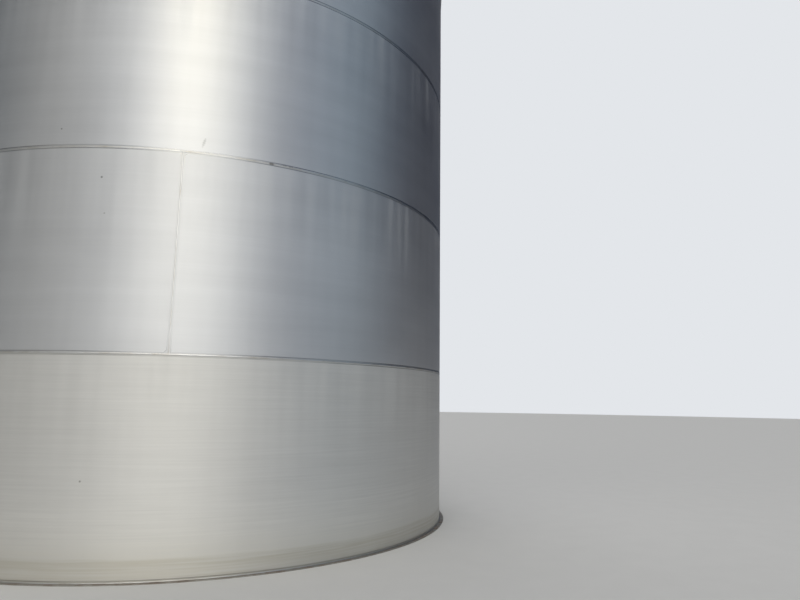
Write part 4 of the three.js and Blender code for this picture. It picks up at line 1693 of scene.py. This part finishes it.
@dataclass
class RoofManway(Assembly):
    """The manway on the roof: an upright flanged neck and a bolted cover with handles."""

    angle: float = 283.1
    distance: float = 2.5
    radius: float = 0.305
    wall: float = 0.006
    rise: float = 0.19
    below: float = 0.09
    flange_radius: float = 0.36
    flange: float = 0.012
    hub: tuple = (0.006, 0.006)
    cover: float = 0.012
    gasket: float = 0.003
    gasket_radius: float = 0.35
    bolt_count: int = 20
    bolt_circle: float = 0.335
    bolt_shank: float = 0.006
    bead: float = 0.012

    def build(self) -> None:
        """Builds neck, cover, gasket, bolts and weld."""
        finishes, place = self.tools.finishes, standing_up(self.angle, self.distance)
        foot, top = (roof_top(self.distance) + height for height in (-self.below, self.rise))
        low, high = top - self.gasket / 2, top + self.gasket / 2
        inner, rim = self.radius - self.wall, self.flange_radius
        section = flanged(inner, self.radius, rim, foot, top - self.flange, low, self.hub)
        neck = Blank(LEVEL).turn(section, place, 0.0015)
        self.hang("roof_manway_neck_flanged", neck, finishes.forging, "roof_manway_neck")
        gasket = Blank().turn(ring(inner, self.gasket_radius, low, high), place)
        self.hang("roof_manway_gasket", gasket, finishes.rubber)
        crest = top + FIT + self.cover
        cover = Blank(LEVEL).turn(ring(0, rim, high, crest), place, 0.0015)
        cover.absorb(self.tools.bars.handles(0.18, 0.075, crest, 0.05, 0.02), place)
        self.hang("roof_manway_cover_bolted", cover, finishes.forging, "roof_manway_cover")
        grip = self.flange + self.cover
        bolts = self.tools.bolts.ring(self.bolt_count, self.bolt_circle, self.bolt_shank, grip)
        bolts.transform(place @ moved(z=top))
        self.hang("roof_manway_bolts", bolts, finishes.bolt)
        seam = on_roof(self.angle, self.distance, self.radius + 0.001)
        self.weld("roof_manway_weld", [seam], self.bead, step=0.02)


@dataclass
class GaugeHatch(Assembly):
    """The gauge hatch on the roof: a short neck under a domed lid with a foot lever."""

    angle: float = 243.1
    distance: float = 2.75
    radius: float = 0.1095
    wall: float = 0.005
    rise: float = 0.16
    below: float = 0.06
    flange_radius: float = 0.14
    flange: float = 0.01
    rim: float = 0.01
    dome_radius: float = 0.128
    crown: float = 0.034
    bead: float = 0.01

    def build(self) -> None:
        """Builds neck, lid, hinge, lever and weld."""
        finishes, place = self.tools.finishes, standing_up(self.angle, self.distance)
        foot, top = (roof_top(self.distance) + height for height in (-self.below, self.rise))
        inner, rim = self.radius - self.wall, self.flange_radius
        section = flanged(inner, self.radius, rim, foot, top - self.flange, top)
        neck = Blank(LEVEL).turn(section, place, 0.0015, 64)
        self.hang("gauge_hatch_neck_flanged", neck, finishes.forging, "gauge_hatch_neck")
        edge = top + FIT + self.rim
        dome = [(self.dome_radius * x, edge + self.crown * y) for x, y in around(40, 1.0)[1:10]]
        profile = [(0, top + FIT), (rim, top + FIT), (rim, edge), *dome, (0, edge + self.crown)]
        lid = Blank(LEVEL).turn(profile, place, sides=64)
        # the foot lever and its tread, the two cheeks of the hinge, and the hinge's leaf on the lid
        for low, high, bevel in (
            ((-0.014, -0.19, edge - 0.004), (0.014, -0.09, edge + 0.010), 0.003),
            ((-0.024, -0.19, edge - 0.003), (0.024, -0.165, edge + 0.009), 0.003),
            ((-0.035, 0.12, top - 0.012), (-0.025, 0.162, edge + 0.016), 0.003),
            ((0.025, 0.12, top - 0.012), (0.035, 0.162, edge + 0.016), 0.003),
            ((-0.022, 0.09, edge - 0.002), (0.022, 0.155, edge + 0.012), 0.004),
        ):
            lid.block(low, high, place, bevel)
        pin = place @ moved(0, 0.148, edge + 0.006) @ ACROSS
        lid.turn(ring(0, 0.006, -0.045, 0.045), pin, 0.001, 20)
        self.hang("gauge_hatch_lid_hinged", lid, finishes.forging, "gauge_hatch_lid")
        seam = on_roof(self.angle, self.distance, self.radius, 64)
        self.weld("gauge_hatch_weld", [seam], self.bead, step=0.012)


@dataclass
class LiftingLugs(Assembly):
    """Two upright plates near the roof's edge, each with a shackle hole."""

    angles: tuple = (178.1, 358.1)
    outer: float = -3.216  # along the frame's Y, which points at the tank's axis
    width: float = 0.18
    rise: float = 0.15
    thickness: float = 0.016
    corner_across: float = 0.04
    corner_down: float = 0.07
    corner_soft: float = 0.012
    hole: float = 0.027
    hole_down: float = 0.062
    bead: float = 0.014

    def build(self) -> None:
        """Builds both lugs with their welds."""
        outer, inner, half = self.outer, self.outer + self.width, self.thickness / 2
        feet = [(y, roof_top(-y) - 0.004) for y in (outer, inner)]
        top, across = roof_top(-outer) + self.rise, self.corner_across
        down = top - self.corner_down
        head = [(inner, down), (inner - across, top), (outer + across, top), (outer, down)]
        outline = softened(feet + head, self.corner_soft, 4)
        hole = moved((outer + inner) / 2, top - self.hole_down)
        for i, angle in enumerate(self.angles):
            place, node = standing_up(angle) @ ON_EDGE, f"lifting_lug_{i + 1}"
            plate = Blank().plate(outline, -half, half, place, 0.0015)
            drill = Blank().turn(ring(0, self.hole, -0.05, 0.05), place @ hole, sides=40)
            mesh = cut_away(plate.mesh("plate"), drill.mesh("drill"))
            self.hang(f"{node}_plate", mesh, self.tools.finishes.bar, node)
            seams = [traced(place, [(y, z + 0.005, side) for y, z in feet]) for side in (-half, half)]
            self.weld(f"{node}_welds", seams, self.bead, step=0.01)


@dataclass
class Ladder(Assembly):
    """The ladder in two spliced lengths, on a bolted bracket for each course."""

    slot = Slot.LADDER
    half_width: float = 0.209
    thickness: float = 0.012
    depth: float = 0.065
    rung_pitch: float = 0.305
    rung_radius: float = 0.011
    rungs: int = 12
    extension: float = 1.07
    head_soft: float = 0.022
    splice: float = 0.010
    splice_half: float = 0.09
    bolt_shank: float = 0.006
    arm: float = 0.01
    arm_half: float = 0.03
    tie_stand: float = 0.06
    pad_rise: float = 0.008
    pad_half: float = 0.06
    pad_edge: float = 0.05
    bead: float = 0.009

    @property
    def faces(self) -> tuple[float, float]:
        """Distances from the tank's axis to the inner and outer edges of the stiles."""
        return LADDER_PLANE - self.depth / 2, LADDER_PLANE + self.depth / 2

    def rung_height(self, i: float) -> float:
        """Height of a rung counted down from the shell's top."""
        return SHELL_TOP - i * self.rung_pitch

    def build(self) -> None:
        """Builds the lengths and the brackets."""
        for index in (1, 2):
            self.build_length(index)
        for index in range(1, COURSE_COUNT + 1):
            self.build_bracket(index)

    def build_length(self, index: int) -> None:
        """Builds one length with its rungs, and the splice bars at the head of the lower one.

        Args:
            index: 1 for the lower length, 2 for the upper one.
        """
        place, half, (near, far) = facing_out(LADDER_ANGLE), self.half_width, self.faces
        lowest = (3 - index) * self.rungs - 1
        low = self.rung_height(lowest + 0.5)
        joint, head = low + self.rungs * self.rung_pitch, SHELL_TOP + self.extension
        length = Blank()
        for side in (-1, 1):
            inside, outside = side * half, side * (half + self.thickness)
            if index == 1:
                length.block((inside, low, near), (outside, joint - FIT, far), place, 0.0015)
                foot = (side * (half - FIT), joint - self.splice_half, near + 0.01)
                length.block(foot, (side * (half - self.splice), joint + self.splice_half, far - 0.01), place)
                spots = [(joint + y, LADDER_PLANE, 0.0) for y in (-0.065, -0.03, 0.03, 0.065)]
                bolts = self.tools.bolts.set(spots, self.bolt_shank, self.thickness + self.splice)
                length.absorb(bolts, place @ moved(side * (half + 0.001)) @ ON_EDGE)
            else:
                outline = [(far, low), (far, head), (near, head), (near, low)]
                outline = softened(outline, self.head_soft, 5, closed=False)
                length.plate(outline, *sorted((inside, outside)), place @ SIDEWAYS, 0.0015)
        end = [(0, half + 0.006), (0.015, half + 0.001), (0.015, half - 0.002)]
        end.append((self.rung_radius, half - 0.006))
        rung = [(radius, -x) for radius, x in end] + end[::-1]
        form = Blank(LEVEL).turn(rung, ACROSS, sides=20).mesh("rung")
        row = self.tools.rows.repeat(form, self.rungs, (0.0, self.rung_pitch, 0.0))
        length.absorb(row, place @ moved(0, self.rung_height(lowest), LADDER_PLANE))
        node = f"ladder_length_{index}"
        self.hang(f"{node}_welded", length, self.tools.finishes.bar, node)

    def build_bracket(self, index: int) -> None:
        """Builds one bracket: pads on the shell, two arms, a tie, the bolts and the welds.

        Args:
            index: its number, from the lowest one up.
        """
        rungs_above = (COURSE_COUNT - index + 0.5) * self.rungs / 2
        place = facing_out(LADDER_ANGLE, self.rung_height(rungs_above - 0.5))
        near = self.half_width + self.thickness + FIT
        far, half, tall = near + self.arm, self.arm_half, self.pad_half
        tie, seat = SHELL_FLAT + self.tie_stand, SHELL_FLAT + self.pad_rise
        bracket = Blank().block((-far, -half, tie - self.arm), (far, half, tie), place, 0.0015)
        seams = []
        for side in (-1, 1):
            inner, outer = side * near, side * far
            bracket.block((inner, -half, SHELL_FLAT), (outer, half, self.faces[1]), place, 0.0015)
            start, end = side * (near - self.pad_edge), side * (far + self.pad_edge)
            bracket.block((start, -tall, SHELL_FLAT - 0.012), (end, tall, seat), place, 0.002)
            spots = [(-(LADDER_PLANE + z), 0.0, 0.0) for z in (-0.017, 0.017)]
            bolts = self.tools.bolts.set(spots, self.bolt_shank, self.thickness + self.arm)
            middle = side * (near + (self.arm - self.thickness) / 2)
            bracket.absorb(bolts, place @ moved(middle) @ ACROSS)
            lines = [((inner, y), (outer, y)) for y in (-half, half)]
            lines += [((x, -half), (x, half)) for x in (inner, outer)]
            seams += [traced(place, [(*spot, seat) for spot in line]) for line in lines]
            rim = [(x, y, math.sqrt(SHELL_RADIUS**2 - x * x)) for x, y in ring(start, end, -tall, tall)]
            seams.append(traced(place, rim, closed=True))
        node = f"ladder_bracket_{index}"
        self.hang(f"{node}_bolted", bracket, self.tools.finishes.bar, node)
        self.weld(f"{node}_welds", seams, self.bead, step=0.01)


@dataclass
class Guardrails(Assembly):
    """The guardrails on the roof's edge, one each side of the ladder."""

    slot = Slot.LADDER
    radius: float = 3.231
    tube: float = 0.021
    post: float = 0.024
    posts: tuple = (6.0, 16.0, 26.0)  # degrees from the ladder
    levels: tuple = (0.535, 1.01)
    side_stand: float = 0.2423
    bend: float = 0.05
    base_inset: float = 0.01
    toe_low: float = 0.03
    toe_height: float = 0.1
    toe_stand: float = 0.003
    toe: Forming = Forming((41, 3), 0.006)

    def build(self) -> None:
        """Builds the left and the right guardrail."""
        for side, name in ((-1, "left"), (1, "right")):
            self.build_rail(side, name)
            self.build_toe_board(side, name)

    def build_rail(self, side: int, name: str) -> None:
        """Builds one guardrail: posts on base plates and two rails.

        Args:
            side: -1 for the left one, 1 for the right one.
            name: its name.
        """
        place, rails, posts = standing_up(LADDER_ANGLE), [], []
        heights = [SHELL_TOP + level for level in self.levels]
        for z in heights:
            start = [(side * self.side_stand, y - LADDER_PLANE, z) for y in (-0.03, 0.09)]
            arc = [polar(side * (self.posts[0] + 2 * i), self.radius, z) for i in range(11)]
            rails.append(Path(start + arc))
        rail = Blank().absorb(self.tools.bars.bend(rails, self.tube, self.bend, 16), place)
        for angle in self.posts:
            x, y, _ = polar(side * angle, self.radius)
            posts.append(Path([(x, y, roof_top(self.radius) - 0.004), (x, y, heights[-1])]))
            inset = self.radius - self.base_inset
            base = place @ standing_up(side * angle, inset) @ moved(z=roof_top(inset))
            base = base @ Matrix.Rotation(math.atan(ROOF_SLOPE), 4, "X")
            rail.block((-0.055, -0.045, -0.001), (0.055, 0.055, 0.008), base, 0.0015)
            self.dress_post(rail, base, [place @ moved(x, y, z) for z in heights])
        rail.absorb(self.tools.bars.bend(posts, self.post, 0.0, 20), place)
        self.hang(f"guardrail_{name}_tubular", rail, self.tools.finishes.tube, f"guardrail_{name}")

    def dress_post(self, rail: Blank, base: Matrix, joints: Sequence[Matrix]) -> None:
        """Adds a post's foot weld, its cap and the sleeves at the rails.

        Args:
            rail: the guardrail.
            base: the frame of the post's base plate.
            joints: the frames of its joints with the rails, from the lower one up.
        """
        post, tube = self.post, self.tube
        foot = [(post - 0.001, 0.007), (post + 0.008, 0.008), (post, 0.018)]
        rail.turn(foot, base @ moved(y=-self.base_inset), sides=24)
        cap = [(0, 0), (post + 0.0015, 0), (post + 0.0015, 0.006), (post - 0.006, 0.014), (0, 0.017)]
        rail.turn(cap, joints[-1], 0.003, 24)
        half = [(post - 0.001, tube + 0.005), (post + 0.003, tube)]
        sleeve = [(radius, -z) for radius, z in half] + half[::-1]
        for joint in joints:
            rail.turn(sleeve, joint, 0.003, 24)

    def build_toe_board(self, side: int, name: str) -> None:
        """Builds one toe board, from the first post to the last.

        Args:
            side: -1 for the left one, 1 for the right one.
            name: its name.
        """
        first, *_, last = self.posts
        start = LADDER_ANGLE + (first if side > 0 else -last)
        out, low = self.radius + self.toe_stand, SHELL_TOP + self.toe_low
        foot, head, mill = (out, low), (out, low + self.toe_height), (0.0, 0.0, 71.0 + side)
        board = self.tools.plates.form(foot, head, start, last - first, mill, self.toe)
        self.hang(f"toe_board_{name}", board, self.tools.finishes.angle)


@dataclass
class Studio:
    """Plain floor, pale backdrop, soft light and the photograph's camera."""

    floor: MattFloor = MattFloor()
    floor_radius: float = 90.0
    backdrop: str = "#e3e6ea"
    # where the camera stands, which way it looks in degrees, and its lens in millimetres
    eye: tuple = (0.0, -8.9206, 1.4640)
    heading: float = 17.82
    pitch: float = 9.31
    roll: float = 0.79
    lens: float = 27.94
    sensor: float = 36.0
    farthest: float = 400.0
    # colours of the dome that the plate mirrors, by azimuth, which runs like a place round the tank
    dome: tuple = (
        (-180, "#e0e2e4"), (-150, "#b4b7bb"), (-120, "#565b61"), (-90, "#646c73"), (-60, "#c6c4c0"),
        (-30, "#d8dce2"), (0, "#79868c"), (32, "#8d94a7"), (60, "#9ab0c0"), (85, "#08193e"),
        (105, "#04102a"), (125, "#05122e"), (150, "#1a2c48"), (167, "#a6aab0"), (180, "#e0e2e4"),
    )
    # azimuth and elevation towards each lamp, its strength, spread and tint
    lamps: tuple = (
        ("low", -6.0, 8.0, 1.04, 45.0, "#fffdfb"),
        ("key", -10.5, 38.0, 0.36, 16.0, "#fff1cc"),
        ("top", 0.0, 87.0, 0.5, 40.0, "#ffffff"),
        ("back", 175.0, 62.0, 0.3, 40.0, "#ffffff"),
    )

    def build(self) -> None:
        """Builds the whole set."""
        bpy.context.scene.view_settings.view_transform = "Standard"
        self.lay_floor()
        self.light_dome()
        self.set_lamps()
        self.place_camera()

    def lay_floor(self) -> None:
        """Lays a plain round floor."""
        form = bmesh.new()
        bmesh.ops.create_circle(form, cap_ends=True, segments=96, radius=self.floor_radius)
        mesh = bpy.data.meshes.new("floor")
        form.to_mesh(mesh)
        form.free()
        mesh.materials.append(self.floor.material())
        put_in_scene("floor", mesh)

    def light_dome(self) -> None:
        """Lights the dome round the tank: pale behind and to the front's left, dark on the right."""
        world = bpy.data.worlds.new("studio")
        world.use_nodes = True
        bpy.context.scene.world = world
        world.node_tree.nodes.clear()
        add = partial(add_node, world.node_tree)
        way = add("SeparateXYZ", (add("TexCoord", out="Generated"),)).node.outputs
        front = add("Math", (way["Y"], -1.0), operation="MULTIPLY")
        azimuth = add("Math", (way["X"], front), operation="ARCTAN2")
        ramp = add("ValToRGB", (add("MapRange", (azimuth, -math.pi, math.pi)),))
        band = ramp.node.color_ramp
        while len(band.elements) < len(self.dome):
            band.elements.new(0.5)
        for element, (angle, hex_colour) in zip(band.elements, self.dome):
            element.position = (angle + 180) / 360
            element.color = linear(hex_colour)
        seen = add("LightPath", out="Is Camera Ray")
        shown = add("Mix", (seen, ramp, linear(self.backdrop)), data_type="RGBA")
        add("OutputWorld", {"Surface": add("Background", {"Color": shown, "Strength": 1.0})})

    def set_lamps(self) -> None:
        """Sets the soft lamps: two in front, one overhead and one high behind the tank."""
        for name, azimuth, elevation, strength, spread, tint in self.lamps:
            lamp = bpy.data.lights.new(name, "SUN")
            lamp.energy = strength
            lamp.color = linear(tint)[:3]
            lamp.angle = math.radians(spread)
            holder = put_in_scene(name, lamp)
            lift = math.radians(elevation)
            holder.rotation_mode = "QUATERNION"
            toward = polar(azimuth, math.cos(lift), math.sin(lift))
            holder.rotation_quaternion = toward.to_track_quat("Z", "Y")

    def place_camera(self) -> None:
        """Places the camera where the photograph was taken from."""
        heading, pitch, roll = (math.radians(a) for a in (self.heading, self.pitch, self.roll))
        level = Vector((math.cos(heading), -math.sin(heading), 0))
        forward = Vector((math.sin(heading), math.cos(heading), 0))
        ahead = forward * math.cos(pitch) + Vector((0, 0, math.sin(pitch)))
        above = level.cross(ahead)
        right = level * math.cos(roll) + above * math.sin(roll)
        up = above * math.cos(roll) - level * math.sin(roll)
        camera = bpy.data.cameras.new("camera")
        camera.lens = self.lens
        camera.sensor_width = self.sensor
        camera.clip_end = self.farthest
        holder = put_in_scene("camera", camera)
        turned_to = Matrix((right, up, -ahead)).transposed().to_4x4()
        holder.matrix_world = Matrix.Translation(self.eye) @ turned_to
        bpy.context.scene.camera = holder


def main() -> None:
    """Builds the tank and its studio."""
    logging.basicConfig(level=logging.INFO, format="%(name)s: %(message)s")
    Studio().build()
    tools = Tools(Finishes(), WeldBeads(), BentBars(), Bolts(), Rows(), FormedPlates())
    manway = ShellManway(
        tools, "manway", "manway_cover", angle=148.1, height=0.76, radius=0.305, wall=0.008, reach=0.19,
        flange_radius=0.382, flange=0.02, cover=0.02, bolt_count=28, bolt_circle=0.346, bolt_shank=0.010,
    )
    outlet = ShellNozzle(
        tools, "outlet", "outlet_blind_flange", angle=173.1, height=0.26, radius=0.057, wall=0.006,
        reach=0.18, flange_radius=0.1145, flange=0.024, cover=0.024, bolt_count=8, bolt_circle=0.09525,
        bolt_shank=0.008,
    )
    first = [kind(tools) for kind in (Shell, BottomPlate, Curb, Roof, Vent)]
    last = [
        kind(tools)
        for kind in (Drain, GroundingLug, RoofManway, GaugeHatch, LiftingLugs, Ladder, Guardrails)
    ]
    for assembly in (*first, manway, outlet, *last):
        log.info("building %s", type(assembly).__name__)
        assembly.build()


if __name__ == "__main__":
    main()
